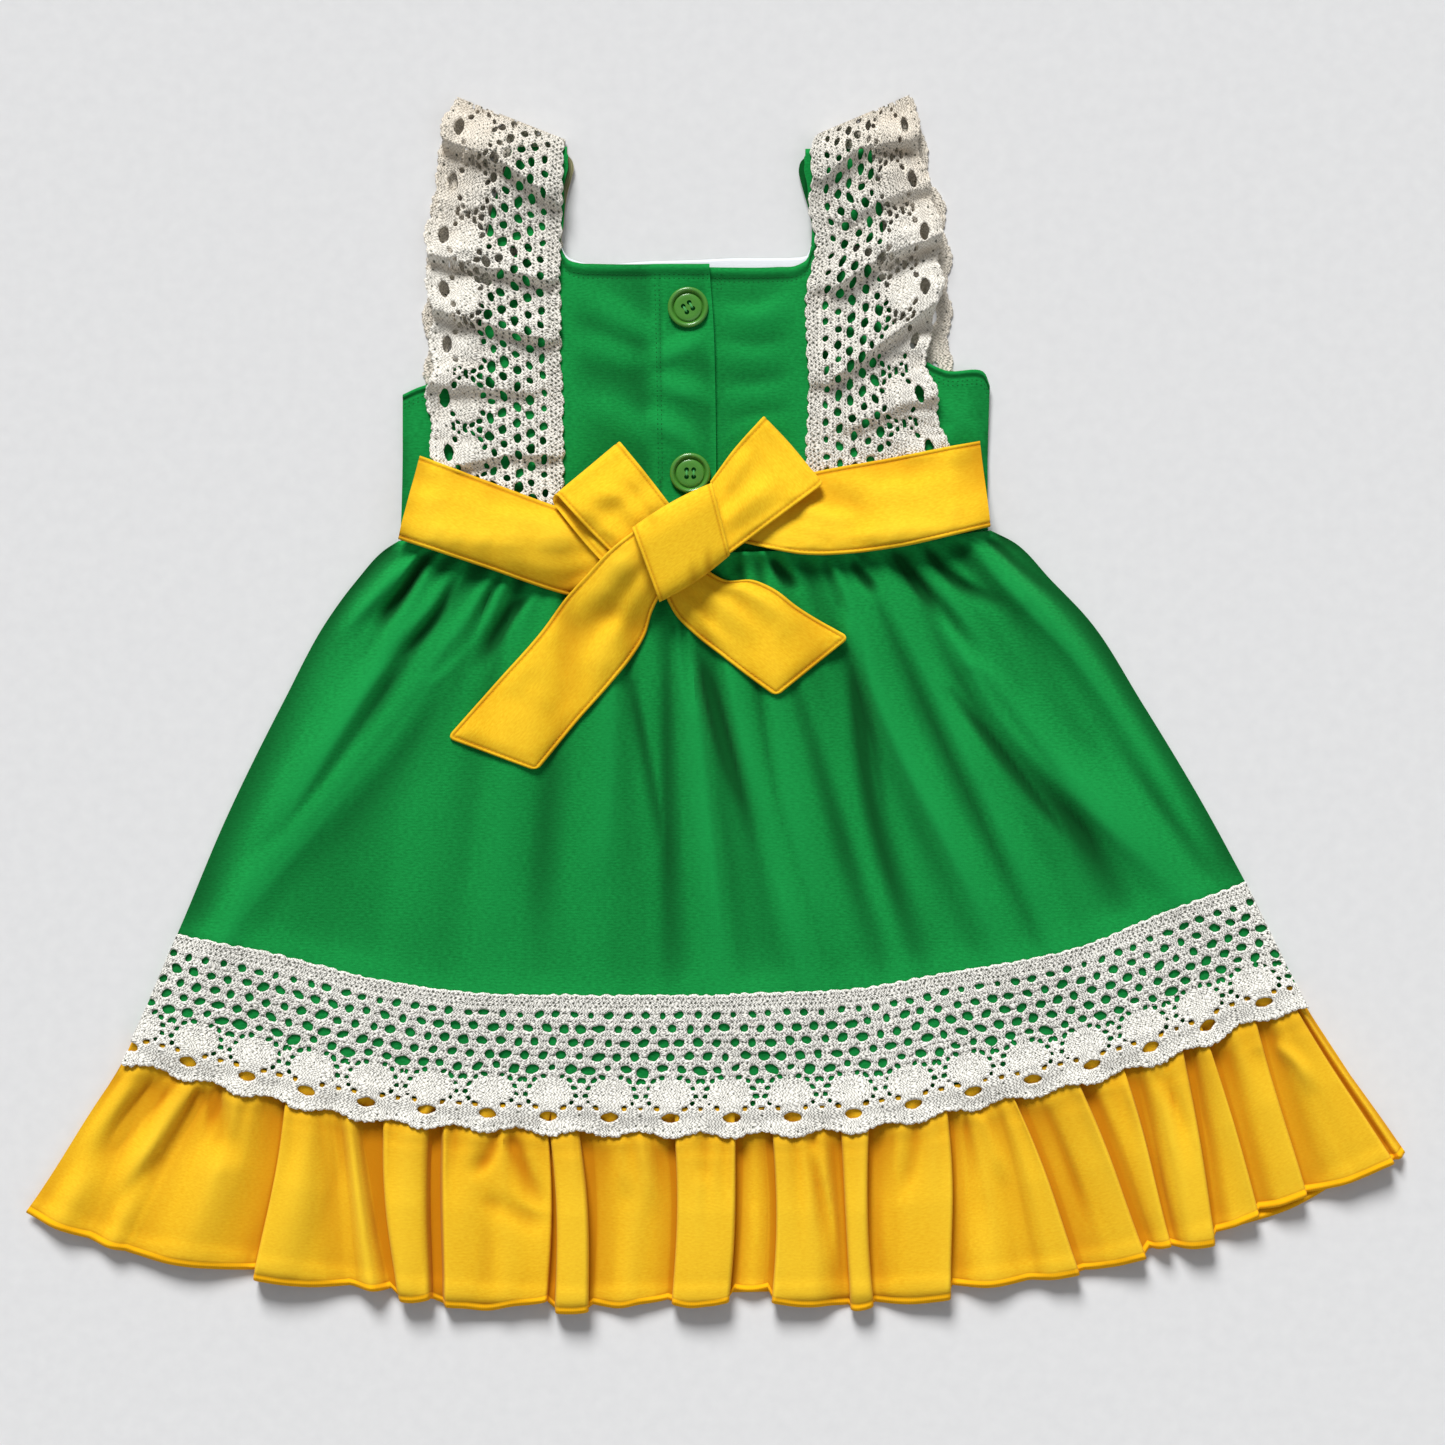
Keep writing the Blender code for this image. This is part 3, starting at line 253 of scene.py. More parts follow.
# Bow parts as pairs of edges, each from the side seam or the knot outward: x, y
SASH_LEFT = ([(-141.5, 116.5), (-108, 104), (-74.6, 91.7), (-45, 83)],
             [(-151.8, 76.5), (-111, 63), (-70, 49.5), (-48, 45)])
SASH_RIGHT = ([(127, 124), (86, 116), (45, 108.5), (8, 98)],
              [(131.6, 82.5), (85, 72), (42.5, 69), (8, 76)])
LOOP_LEFT = ([(-18, 88), (-31, 105), (-42, 118.6)], [(-46, 66), (-60, 80), (-74.6, 96)],
             [(-49, 60), (-62, 74), (-76.5, 92)])
LOOP_RIGHT = ([(-2.5, 104), (8, 118.5), (20.4, 132.5)], [(3, 66.5), (28, 85), (49.7, 101.3)],
              [(3, 71), (26, 88), (48, 103)])
TAIL_LEFT = ([(-36, 82), (-52, 69), (-61, 59.5), (-71, 49), (-84, 31.7), (-107, 6), (-129, -18.7)],
             [(-24, 54), (-30.5, 41), (-33.5, 31), (-40, 20), (-49, 8.6), (-66, -10.5), (-85.7, -34.6)])
TAIL_RIGHT = ([(-6, 63), (5, 57), (18, 57), (28, 52.8), (39, 44.6), (64.3, 29.4)],
              [(-25, 51), (-19, 40), (-9.8, 30.7), (3, 20.5), (14, 12), (29, 1)])
KNOT = [(-39.6, 81), (-1.7, 102.7), (7, 68.6), (-26.6, 46)]

# Creases in the ribbons
RIBBON_FOLDS = [
    (-34, 82, -46, 96, -60, 97, 3.2, 5, 4, 1.2),
    (-28, 88, -36, 100, -43, 108, 2.0, 3, 4, 1.3),
    (-42, 72, -54, 82, -66, 92, 1.6, 3, 4, 1.4),
    (2, 82, 20, 97, 32, 106, 3.4, 4, 6, 1.4),
    (4, 98, 12, 112, 20, 122, 2.0, 3, 4, 1.3),
    (8, 76, 24, 84, 38, 96, 1.6, 3, 4, 1.3),
    (-36, 68, -54, 50, -68, 34, 2.6, 4, 6, 1.7),
    (-32, 58, -44, 38, -60, 14, 2.0, 4, 4, 1.8),
    (-44, 70, -66, 52, -88, 28, 1.4, 4, 4, 1.5),
    (-14, 58, 4, 44, 18, 30, 2.8, 3, 5, 1.8),
    (-6, 61, 18, 50, 36, 36, 2.4, 3, 4, 1.6),
    (-18, 50, -6, 36, 8, 22, 1.6, 3, 4, 1.5),
    (-52, 74, -80, 82, -108, 88, 1.6, 6, 5, 1.3),
    (-52, 66, -78, 62, -104, 72, 1.2, 4, 5, 1.3),
    (34, 96, 50, 88, 72, 85, 3.0, 4, 6, 1.4),
    (34, 86, 56, 80, 80, 78, 1.8, 3, 4, 1.3),
    (56, 104, 84, 100, 110, 106, 1.4, 5, 6, 1.3),
]
BUTTONS = {"button_top": (-13.2, 188.2, 32.0), "button_bottom": (-12.2, 108.5, 0.0)}


class Slot(Enum):
    """The record's material slots."""

    GREEN = "green_jersey"
    YELLOW = "yellow_jersey"
    LACE = "cream_lace"
    LINING = "white_lining"
    BUTTON = "green_button"


class Held(Enum):
    """How a sheet of cloth is held."""

    LAID = "laid"
    GATHERED = "gathered"
    FOLDED = "folded"


class Side(Enum):
    """Sides of the dress."""

    FRONT = "front"
    BACK = "back"
    LEFT = "left"
    RIGHT = "right"


def running(points: Grid) -> Grid:
    """Length up to each point of a line, or the mean for lines side by side."""
    steps = norm(np.diff(points, axis=0), axis=-1)
    return np.concatenate([[0.0], np.cumsum(steps.mean(axis=1) if steps.ndim > 1 else steps)])


def path(points: Points, fractions: Grid) -> Grid:
    """Read a smooth curve through points.

    Args:
        points: The points, in order.
        fractions: Parts of the curve's length, in an array of any shape.

    Returns:
        A point for each fraction.
    """
    knots = np.asarray(points, float)
    stations = running(knots)
    slopes = np.gradient(knots, stations, axis=0)
    at = np.clip(np.asarray(fractions, float), 0.0, 1.0).ravel() * stations[-1]
    left = np.clip(np.searchsorted(stations, at, side="right") - 1, 0, len(knots) - 2)
    step = (stations[left + 1] - stations[left])[:, None]
    t = (at - stations[left])[:, None] / step
    rise = t * t * (3 - 2 * t)
    start = t * (1 - t) ** 2 * step * slopes[left]
    end = t * t * (1 - t) * step * slopes[left + 1]
    found = knots[left] + rise * (knots[left + 1] - knots[left]) + start - end
    return found.reshape(*np.shape(fractions), knots.shape[1])


def length(points: Points) -> float:
    """Length of the line through the points."""
    return float(norm(np.diff(np.asarray(points, float), axis=0), axis=1).sum())


def ramp(value: Grid | float, low: float, high: float) -> Grid:
    """Rise softly from 0 at low to 1 at high."""
    t = np.clip((np.asarray(value, float) - low) / (high - low), 0.0, 1.0)
    return t * t * (3 - 2 * t)


def ridge(value: Grid, middle: float, width: float) -> Grid:
    """Stand up softly to 1 at the middle."""
    return np.exp(-((value - middle) / width) ** 2)


def between(first: Grid, second: Grid, parts: Grid) -> Grid:
    """Lay rows of points between two rows, one for each part of the way."""
    share = np.asarray(parts, float)[:, None, None]
    return first[None] * (1 - share) + second[None] * share


def raised(plan: Grid, height: Grid | float) -> Grid:
    """Give the points of a plan their height."""
    return np.concatenate([plan, np.broadcast_to(height, plan.shape[:-1])[..., None]], axis=-1)


def mirrored(parts: Grid) -> Grid:
    """Part of the way from the nearer edge."""
    return np.minimum(parts, 1 - parts)


def patch(left: Points, right: Points, top: Edge, foot: Edge, shape: tuple[int, int]) -> Grid:
    """Fill four smooth edges with a grid of points.

    Args:
        left: Points of the left edge, from top to foot.
        right: The same for the right edge.
        top: Gives points of the upper edge for fractions from left to right.
        foot: The same for the lower edge.
        shape: Cells down and across.

    Returns:
        Points in rows from top to foot.
    """
    v, u = np.linspace(0, 1, shape[0] + 1), np.linspace(0, 1, shape[1] + 1)
    sides = between(path(left, v), path(right, v), u).transpose(1, 0, 2)
    first, last = (between(top(end), foot(end), v)[:, 0] for end in (u[:1], u[-1:]))
    return sides + between(top(u), foot(u), v) - between(first, last, u).transpose(1, 0, 2)


def dense_ends(size: float, step: float, both: bool = True) -> Grid:
    """Fractions across a cloth, closer together near its sewn edges.

    Args:
        size: Width of the cloth.
        step: Distance between the fractions away from the edges.
        both: Whether the last edge is sewn too.

    Returns:
        Fractions from 0 to 1.
    """
    near = np.array([0.0, 0.3, 0.7, 1.2, 1.7, 2.2, 2.8, 3.6, 4.6])
    far = near if both else near[:1]
    middle = np.linspace(near[-1], size - far[-1], max(2, int((size - near[-1] - far[-1]) / step)) + 1)
    return np.unique(np.concatenate([near, middle, size - far]).round(6)) / size


def blend(values: Grid, row: Grid, column: Grid) -> Grid:
    """Read a grid between its points.

    Args:
        values: Values or points on a grid.
        row: Row numbers with fractions.
        column: Column numbers with fractions.

    Returns:
        The value or point at each place.
    """
    row = np.clip(row, 0, values.shape[0] - 1.001)
    column = np.clip(column, 0, values.shape[1] - 1.001)
    i, j = row.astype(int), column.astype(int)
    a, b = row - i, column - j
    if values.ndim == 3:
        a, b = a[..., None], b[..., None]
    upper = values[i, j] * (1 - b) + values[i, j + 1] * b
    lower = values[i + 1, j] * (1 - b) + values[i + 1, j + 1] * b
    return upper * (1 - a) + lower * a


@dataclass(frozen=True)
class Unevenness:
    """Soft unevenness from -1 to 1, the same on every run."""

    seed: int
    size: int = 97

    def at(self, x: Grid, y: Grid) -> Grid:
        """Read it at places that are counted in its own steps.

        Args:
            x: Places one way.
            y: Places the other way.

        Returns:
            A value for each place.
        """
        table = np.random.default_rng(self.seed).uniform(-1, 1, (self.size, self.size))
        i, j = np.floor(x).astype(int), np.floor(y).astype(int)
        a, b = ramp(x - i, 0, 1), ramp(y - j, 0, 1)
        i, j, n = i % self.size, j % self.size, self.size
        upper = table[i, j] * (1 - a) + table[(i + 1) % n, j] * a
        lower = table[i, (j + 1) % n] * (1 - a) + table[(i + 1) % n, (j + 1) % n] * a
        return upper * (1 - b) + lower * b

    def over(self, plan: Grid, wide: float, tall: float = 0.0) -> Grid:
        """Read it over a plan, in patches of one width and height."""
        return self.at(plan[..., 0] / wide, plan[..., 1] / (tall or wide))


def folds_over(plan: Grid, folds: Points, onset: float = 0.2, fade: float = 1.0, past_end: float = 0.0,
               samples: int = 32) -> Grid:
    """Raise soft folds over a plan.

    Args:
        plan: Grid of x and y.
        folds: Rows of crest, height (negative in a trough), width on its left and right, and spread.
        onset: Part of the crest over which a fold rises.
        fade: Part of its height that is gone at its far end.
        past_end: How far each crest runs on, as a part of its last half.
        samples: Steps along each crest.

    Returns:
        Height of the folds at each point.
    """
    crests, troughs = np.zeros(plan.shape[:2]), np.zeros(plan.shape[:2])
    for x0, y0, x1, y1, x2, y2, height, left, right, spread in folds:
        knots = [(x0, y0), (x1, y1), (x2, y2)]
        if past_end:
            knots.append((x2 + past_end * (x2 - x1), y2 + past_end * (y2 - y1)))
        line = path(knots, np.linspace(0, 1, samples + 1))
        heading = np.gradient(line, axis=0)
        heading /= norm(heading, axis=1, keepdims=True)
        away = plan[:, :, None] - line[None, None]
        nearest = (away ** 2).sum(axis=3).argmin(axis=2)
        offset = np.take_along_axis(away, nearest[:, :, None, None], axis=2)[:, :, 0]
        ahead = heading[nearest]
        past = (offset * ahead).sum(axis=2)
        side = ahead[..., 0] * offset[..., 1] - ahead[..., 1] * offset[..., 0]
        along = np.clip(nearest + past * samples / length(line), 0, samples) / samples
        ends = (nearest == 0) & (past < 0) | (nearest == samples) & (past > 0)
        lean = ramp(side, -0.6 * right, 0.6 * left)
        width = (right + (left - right) * lean) * (1 + (spread - 1) * along)
        strength = ramp(along, -0.15, onset) * (1 - fade * ramp(along, 0.5, 1.0))
        shape = height * (strength * np.exp(-(side ** 2 + np.where(ends, past, 0) ** 2) / width ** 2))
        crests, troughs = np.maximum(crests, shape), np.minimum(troughs, shape)
    return crests + troughs


@dataclass
class Bed:
    """Height of the cloth laid so far, over squares of the floor."""

    width: float = 704.0
    depth: float = 624.0
    cell: float = 1.0
    fineness: float = 0.7
    height: Grid = field(init=False)

    def __post_init__(self) -> None:
        """Start with the bare floor."""
        self.height = np.zeros((int(self.depth / self.cell), int(self.width / self.cell)))

    def place(self, plan: Grid) -> tuple[Grid, Grid]:
        """Row and column, with fractions, under each point of a plan."""
        return (plan[..., 1] + self.depth / 2) / self.cell, (plan[..., 0] + self.width / 2) / self.cell

    def below(self, plan: Grid, reach: int = 2) -> Grid:
        """Find the highest cloth near each point of a plan.

        Args:
            plan: Points as x and y.
            reach: How many squares round a point count.

        Returns:
            The height at each point.
        """
        high = self.height
        for axis in (0, 1):
            high = np.max([np.roll(high, step, axis) for step in range(-reach, reach + 1)], axis=0)
        row, column = self.place(plan)
        return blend(high, row - 0.5, column - 0.5)

    def add(self, top: Grid, keep: Mask | None = None) -> None:
        """Raise the bed to an upper face.

        Args:
            top: Points of the face in rows.
            keep: Which cells of the grid are cloth.
        """
        steps = [norm(np.diff(top, axis=axis), axis=2) for axis in (0, 1)]
        counts = [int(np.ceil(np.percentile(step, 98) / self.fineness)) + 1 for step in steps]
        corners = [top[:-1, :-1], top[:-1, 1:], top[1:, :-1], top[1:, 1:]]
        if keep is not None:
            corners = [corner[keep] for corner in corners]
        for a in np.linspace(0, 1, counts[0] + 1):
            for b in np.linspace(0, 1, counts[1] + 1):
                upper = corners[0] * (1 - b) + corners[1] * b
                lower = corners[2] * (1 - b) + corners[3] * b
                sample = (upper * (1 - a) + lower * a).reshape(-1, 3)
                row, column = self.place(sample[:, :2])
                np.maximum.at(self.height, (row.astype(int), column.astype(int)), sample[:, 2])


def ease(plan: Grid, height: Grid, fall: float) -> Grid:
    """Let cloth fall from its high spots no more steeply than it can.

    Args:
        plan: Grid of x and y.
        height: Height of what it lies on.
        fall: Steepest slope.

    Returns:
        Height of the cloth, nowhere below the given one.
    """
    height = height.copy()
    for axis in (0, 1):
        drop = np.moveaxis(fall * norm(np.diff(plan, axis=axis), axis=2), axis, 0)
        level = np.moveaxis(height, axis, 0)
        for i in range(1, len(level)):
            level[i] = np.maximum(level[i], level[i - 1] - drop[i - 1])
        for i in range(len(level) - 2, -1, -1):
            level[i] = np.maximum(level[i], level[i + 1] - drop[i])
    return height


def soften(height: Grid, floor: Grid | float, passes: int) -> Grid:
    """Round a height grid off without going below its floor."""
    for _ in range(passes):
        ring = np.pad(height, 1, mode="edge")
        mean = (ring[:-2, 1:-1] + ring[2:, 1:-1] + ring[1:-1, :-2] + ring[1:-1, 2:]) / 4
        height = np.maximum(floor, (height + mean) / 2)
    return height


@dataclass
class Cloth:
    """A cloth on a grid, from its plan to the laid faces.

    Args:
        plan: Grid of x and y where it lies.
        cut: Grid of places on the flat cloth.
        thickness: Of the cloth.
        relief: Height of its folds above what it lies on.
        keep: Cells that are cloth; the others are holes.
        fall: Steepest slope where it comes down off another piece.
        passes: How much the cloth rounds off what is below.
        pinned: Points that follow what is below exactly.
        marks: Values for the finish, by name: one grid, or one for each face.
    """

    plan: Grid
    cut: Grid
    thickness: float = JERSEY
    relief: Grid | float = 0.0
    keep: Mask | None = None
    fall: float = 0.6
    passes: int = 8
    pinned: Mask | None = None
    marks: dict[str, Grid] = field(default_factory=dict)
    top: Grid = field(init=False)
    under: Grid = field(init=False)

    def lay(self, bed: Bed) -> "Cloth":
        """Lay it on the bed and raise the bed to its upper face.

        Args:
            bed: What has been laid so far.

        Returns:
            Itself, with its faces worked out.
        """
        below = bed.below(self.plan)
        floor = np.where(below > BARE, below + GAP, 0.0)
        rest = soften(ease(self.plan, floor, self.fall), floor, self.passes)
        if self.pinned is not None:
            rest = np.where(self.pinned, floor, rest)
        upper = rest + self.relief + self.thickness
        lower = np.maximum(floor, upper - self.thickness)
        self.top = raised(self.plan, np.maximum(upper, lower + LEAST))
        self.under = raised(self.plan, lower)
        bed.add(self.top, self.keep)
        return self

    @classmethod
    def turned(cls, bed: Bed, faces: Sequence[Sequence[Grid]], across: Grid, thickness: float,
               marks: dict[str, Grid]) -> "Cloth":
        """Take a cloth that is folded back over itself, and raise the bed to it.

        Args:
            bed: What has been laid so far.
            faces: Rows of points of its outer and of its inner face.
            across: Places across the flat cloth.
            thickness: Of the cloth.
            marks: Values for the finish.

        Returns:
            The cloth.
        """
        top, under = (np.array(rows) for rows in faces)
        cloth = cls(top[..., :2], np.dstack(np.meshgrid(across, running(top))), thickness, marks=marks)
        cloth.top, cloth.under = top, under
        bed.add(top)
        return cloth

    def paint_fold_shade_and_highlight(self, depth: float, near: int = 40, far: int = 400) -> "Cloth":
        """Paint shade into the hollows of its folds and a highlight onto their crests, as marks for the
        finish.

        Args:
            depth: How deep a fully marked hollow is.
            near: Passes that even out the near neighbourhood of a point.
            far: Passes that even out the wider one.

        Returns:
            Itself.
        """
        height = self.top[..., 2]
        around = soften(height, NO_FLOOR, near)
        hollow = 0.7 * (around - height) + 0.5 * (soften(around, NO_FLOOR, far) - height)
        seams = self.marks.get("crease", 0.0)
        # painted shade: the hollows of the folds, on top of any painted seam shade already marked
        self.marks["crease"] = np.clip(np.clip(hollow / depth, 0, 1) ** 0.9 + seams, 0, 1)
        # painted highlight: the crests of the folds, made lighter by the finish
        self.marks["crest"] = 0.45 * np.clip(-hollow / depth, 0, 1)
        return self

    def mesh(self, name: str, closed: bool = True) -> Piece:
        """Make the mesh object.

        Args:
            name: Of the object.
            closed: Whether the lower face is made, or only the edges' thickness.

        Returns:
            The object.
        """
        rows, columns = self.top.shape[:2]
        total = rows * columns
        index = np.arange(total).reshape(rows, columns)
        corners = np.stack([index[:-1, :-1], index[:-1, 1:], index[1:, 1:], index[1:, :-1]], axis=-1)
        kept = np.ones(corners.shape[:2], bool) if self.keep is None else self.keep
        points = np.vstack([self.top.reshape(-1, 3), self.under.reshape(-1, 3)])
        cells = corners[kept]
        a, b, c, d = (points[cells[:, k]] for k in range(4))
        outward = (np.cross(c - a, d - b) * (a - points[cells[:, 0] + total])).sum()
        faces = [cells]
        if closed:
            faces.append(cells[:, ::-1] + total)
        ring = np.pad(kept, 1)
        for down, across, start, end in ((-1, 0, 0, 1), (0, 1, 1, 2), (1, 0, 2, 3), (0, -1, 3, 0)):
            beside = ring[1 + down:rows + down, 1 + across:columns + across]
            edge = corners[kept & ~beside]
            p, q = edge[:, start], edge[:, end]
            faces.append(np.stack([q, p, p + total, q + total], axis=-1))
        quads = np.vstack(faces)
        if outward < 0:
            quads = quads[:, ::-1]
        used, quads = np.unique(quads, return_inverse=True)
        marks = {key: np.broadcast_to(value, (2, rows, columns)).ravel()[used]
                 for key, value in self.marks.items()}
        cut = np.tile(self.cut.reshape(-1, 2), (2, 1))[used]
        return make_mesh(name, points[used], quads.reshape(-1, 4), cut, marks)

    def line(self, row: Grid | float, column: Grid | float) -> Grid:
        """Points of the upper face at rows and columns with fractions."""
        row, column = np.broadcast_arrays(np.asarray(row, float), np.asarray(column, float))
        return blend(self.top, row, column)


def show(name: str, data: bpy.types.ID) -> Piece:
    """Make an object and link it to the scene.

    Args:
        name: Of the object.
        data: Its mesh, camera or light.

    Returns:
        The object.
    """
    item = bpy.data.objects.new(name, data)
    bpy.context.scene.collection.objects.link(item)
    return item


def in_metres(points: Grid) -> Grid:
    """Turn millimetres on the laid dress into metres in the frame."""
    return (points - np.array([0.0, MIDDLE_Y, 0.0])) * MM


def ring_faces(rings: int, sides: int) -> Faces:
    """List the faces between rings of points that are numbered one ring after the other.

    Args:
        rings: Number of rings.
        sides: Points in a ring.

    Returns:
        Four point numbers for each face.
    """
    ring, turn = np.meshgrid(np.arange(rings - 1) * sides, np.arange(sides), indexing="ij")
    after = (turn + 1) % sides
    return np.stack([ring + turn, ring + after, ring + sides + after, ring + sides + turn], -1).reshape(-1, 4)


def make_mesh(name: str, points: Grid, quads: Faces, cut: Grid | None = None,
              marks: dict[str, Grid] | None = None, crease: float = 50.0) -> Piece:
    """Make a smooth mesh object of quads.

    Args:
        name: Of the object.
        points: Points in millimetres on the laid dress.
        quads: Four point numbers for each face.
        cut: Place of each point on the flat cloth.
        marks: Values of each point, by name.
        crease: Sharper edges, in degrees, aren't shaded smooth.

    Returns:
        The object, linked to the scene.
    """
    mesh = bpy.data.meshes.new(name)
    mesh.vertices.add(len(points))
    mesh.vertices.foreach_set("co", in_metres(points).astype(np.float32).ravel())
    mesh.loops.add(quads.size)
    mesh.loops.foreach_set("vertex_index", quads.ravel().astype(np.int32))
    mesh.polygons.add(len(quads))
    mesh.polygons.foreach_set("loop_start", np.arange(0, quads.size, 4, dtype=np.int32))
    mesh.update(calc_edges=True)
    if cut is not None:
        layer = mesh.uv_layers.new(name="cloth")
        layer.data.foreach_set("uv", (cut[quads.ravel()] * MM).astype(np.float32).ravel())
    for key, value in (marks or {}).items():
        mark = mesh.attributes.new(key, "FLOAT", "POINT")
        mark.data.foreach_set("value", value.astype(np.float32))
    mesh.validate()
    mesh.shade_smooth()
    mesh.set_sharp_from_angle(angle=math.radians(crease))
    return show(name, mesh)


class Tree:
    """Short way to fill a node tree."""

    def __init__(self, tree: bpy.types.NodeTree) -> None:
        """Take the tree to fill."""
        self.tree = tree

    def feed(self, made: bpy.types.Node, inputs: Inputs) -> None:
        """Link sockets to a node's inputs, or set their values.

        Args:
            made: The node.
            inputs: Value or socket for each input, by name or number.
        """
        for key, value in inputs.items():
            socket = made.inputs[key]
            if isinstance(value, Socket):
                self.tree.links.new(value, socket)
            else:
                socket.default_value = (*value, 1.0) if socket.type == "RGBA" else value

    def node(self, kind: str, inputs: Inputs | None = None, **settings: object) -> bpy.types.Node:
        """Add a node.

        Args:
            kind: Its type name, without the leading ShaderNode.
            inputs: Value or socket for each input, by name or number.
            **settings: The node's own settings.

        Returns:
            The node.
        """
        made = self.tree.nodes.new("ShaderNode" + kind)
        for key, value in settings.items():
            setattr(made, key, value)
        self.feed(made, inputs or {})
        return made

    def math(self, operation: str, *values: object) -> Socket:
        """Add a math node and give its output."""
        return self.node("Math", dict(enumerate(values)), operation=operation).outputs[0]

    def mix(self, share: object, first: object, second: object) -> Socket:
        """Mix two colours and give the result."""
        return self.node("Mix", {0: share, 6: first, 7: second}, data_type="RGBA").outputs[2]

    def range(self, *values: object) -> Socket:
        """Map a value from a low and high limit to new ones."""
        return self.node("MapRange", dict(enumerate(values))).outputs[0]

    def mark(self, name: str) -> Socket:
        """Read a value that the mesh carries."""
        return self.node("Attribute", attribute_name=name).outputs["Fac"]


class EffectGroup:
    """A shader node group with named inputs and outputs, built once."""

    title = "effect"
    takes: tuple[tuple[str, str, object], ...] = ()
    gives: tuple[tuple[str, str], ...] = ()

    def group(self) -> bpy.types.NodeTree:
        """Find the group, or build it on first use.

        Returns:
            Its tree.
        """
        tree = bpy.data.node_groups.get(self.title)
        if tree is not None:
            return tree
        tree = bpy.data.node_groups.new(self.title, "ShaderNodeTree")
        for name, kind, value in self.takes:
            socket = tree.interface.new_socket(name, in_out="INPUT", socket_type="NodeSocket" + kind)
            if value is not None:
                socket.default_value = value
        for name, kind in self.gives:
            tree.interface.new_socket(name, in_out="OUTPUT", socket_type="NodeSocket" + kind)
        source = tree.nodes.new("NodeGroupInput")
        target = tree.nodes.new("NodeGroupOutput")
        for name, socket in self.wire(Tree(tree), source.outputs).items():
            tree.links.new(socket, target.inputs[name])
        return tree

    def wire(self, work: Tree, source: bpy.types.NodeOutputs) -> dict[str, Socket]:
        """Fill the group.

        Args:
            work: The group's tree.
            source: Its inputs.

        Returns:
            A socket for each output.
        """
        raise NotImplementedError

    def use(self, work: Tree, inputs: Inputs) -> bpy.types.NodeOutputs:
        """Place the group in a material and give its outputs."""
        return work.node("Group", inputs, node_tree=self.group()).outputs


class KnitGroup(EffectGroup):
    """Fine jersey knit: columns of V stitches, as height and as a tone of painted shade between the stitches
    and the yarn's streaks.
    """

    title = "jersey knit"
    takes = (("Place", "Vector", None), ("Column", "Float", 0.9), ("Stitch", "Float", 0.75))
    gives = (("Height", "Float"), ("Shade", "Float"))

    def wire(self, work: Tree, source: bpy.types.NodeOutputs) -> dict[str, Socket]:
        """Fill the group.

        Args:
            work: The group's tree.
            source: Place on the cloth, and a stitch's width and height.

        Returns:
            A socket for each output.
        """
        parts = work.node("SeparateXYZ", {0: source["Place"]}).outputs
        across = work.math("DIVIDE", work.math("MULTIPLY", parts[0], 1000.0), source["Column"])
        along = work.math("DIVIDE", work.math("MULTIPLY", parts[1], 1000.0), source["Stitch"])
        lean = work.math("PINGPONG", across, 0.5)
        legs = work.math("ABSOLUTE", work.math("SINE", work.math("MULTIPLY", across, 2 * math.pi)))
        rows = work.math("SINE", work.math("MULTIPLY", work.math("ADD", along, lean), 2 * math.pi))
        height = work.math("MULTIPLY_ADD", rows, 0.3, work.math("MULTIPLY", legs, 0.7))
        drawn = work.node("Mapping", {"Vector": source["Place"], "Scale": (420.0, 1150.0, 1.0)}).outputs[0]
        fibres = {"Vector": drawn, "Scale": 1.0, "Detail": 2.0, "Roughness": 0.6}
        slub = work.node("TexNoise", fibres).outputs[0]
        streak = work.range(slub, 0.3, 0.7, 0.0, 1.0)
        # partly painted shade, darker where the knit is low, and partly the yarn's uneven streaks
        shade = work.math("MULTIPLY_ADD", height, 0.35, work.math("MULTIPLY", streak, 0.65))
        return {"Height": work.math("MULTIPLY_ADD", slub, 0.6, height), "Shade": shade}


class MottleGroup(EffectGroup):
    """Uneven dye and soft wear: mixes two tones over the cloth."""

    title = "cloth tone"
    takes = (("Light", "Color", None), ("Deep", "Color", None), ("Shade", "Float", 0.5),
             ("Grain", "Float", 0.45), ("Patch", "Float", 14.0))
    gives = (("Color", "Color"),)

    def wire(self, work: Tree, source: bpy.types.NodeOutputs) -> dict[str, Socket]:
        """Fill the group.

        Args:
            work: The group's tree.
            source: Two tones, the thread's shade and grain, and the patches' scale.

        Returns:
            A socket for each output.
        """
        place = work.node("TexCoord").outputs["Object"]
        patches = {"Vector": place, "Scale": source["Patch"], "Detail": 4.0, "Roughness": 0.6}
        cloud = work.math("MULTIPLY", work.node("TexNoise", patches).outputs[0], 0.5)
        # the Shade input brings in the painted shade of the knit or plait, with the yarn's streaks
        share = work.math("ADD", cloud, work.math("MULTIPLY", source["Shade"], source["Grain"]))
        clear = work.range(share, 0.2, 0.75, 0.0, 1.0)
        return {"Color": work.mix(clear, source["Deep"], source["Light"])}


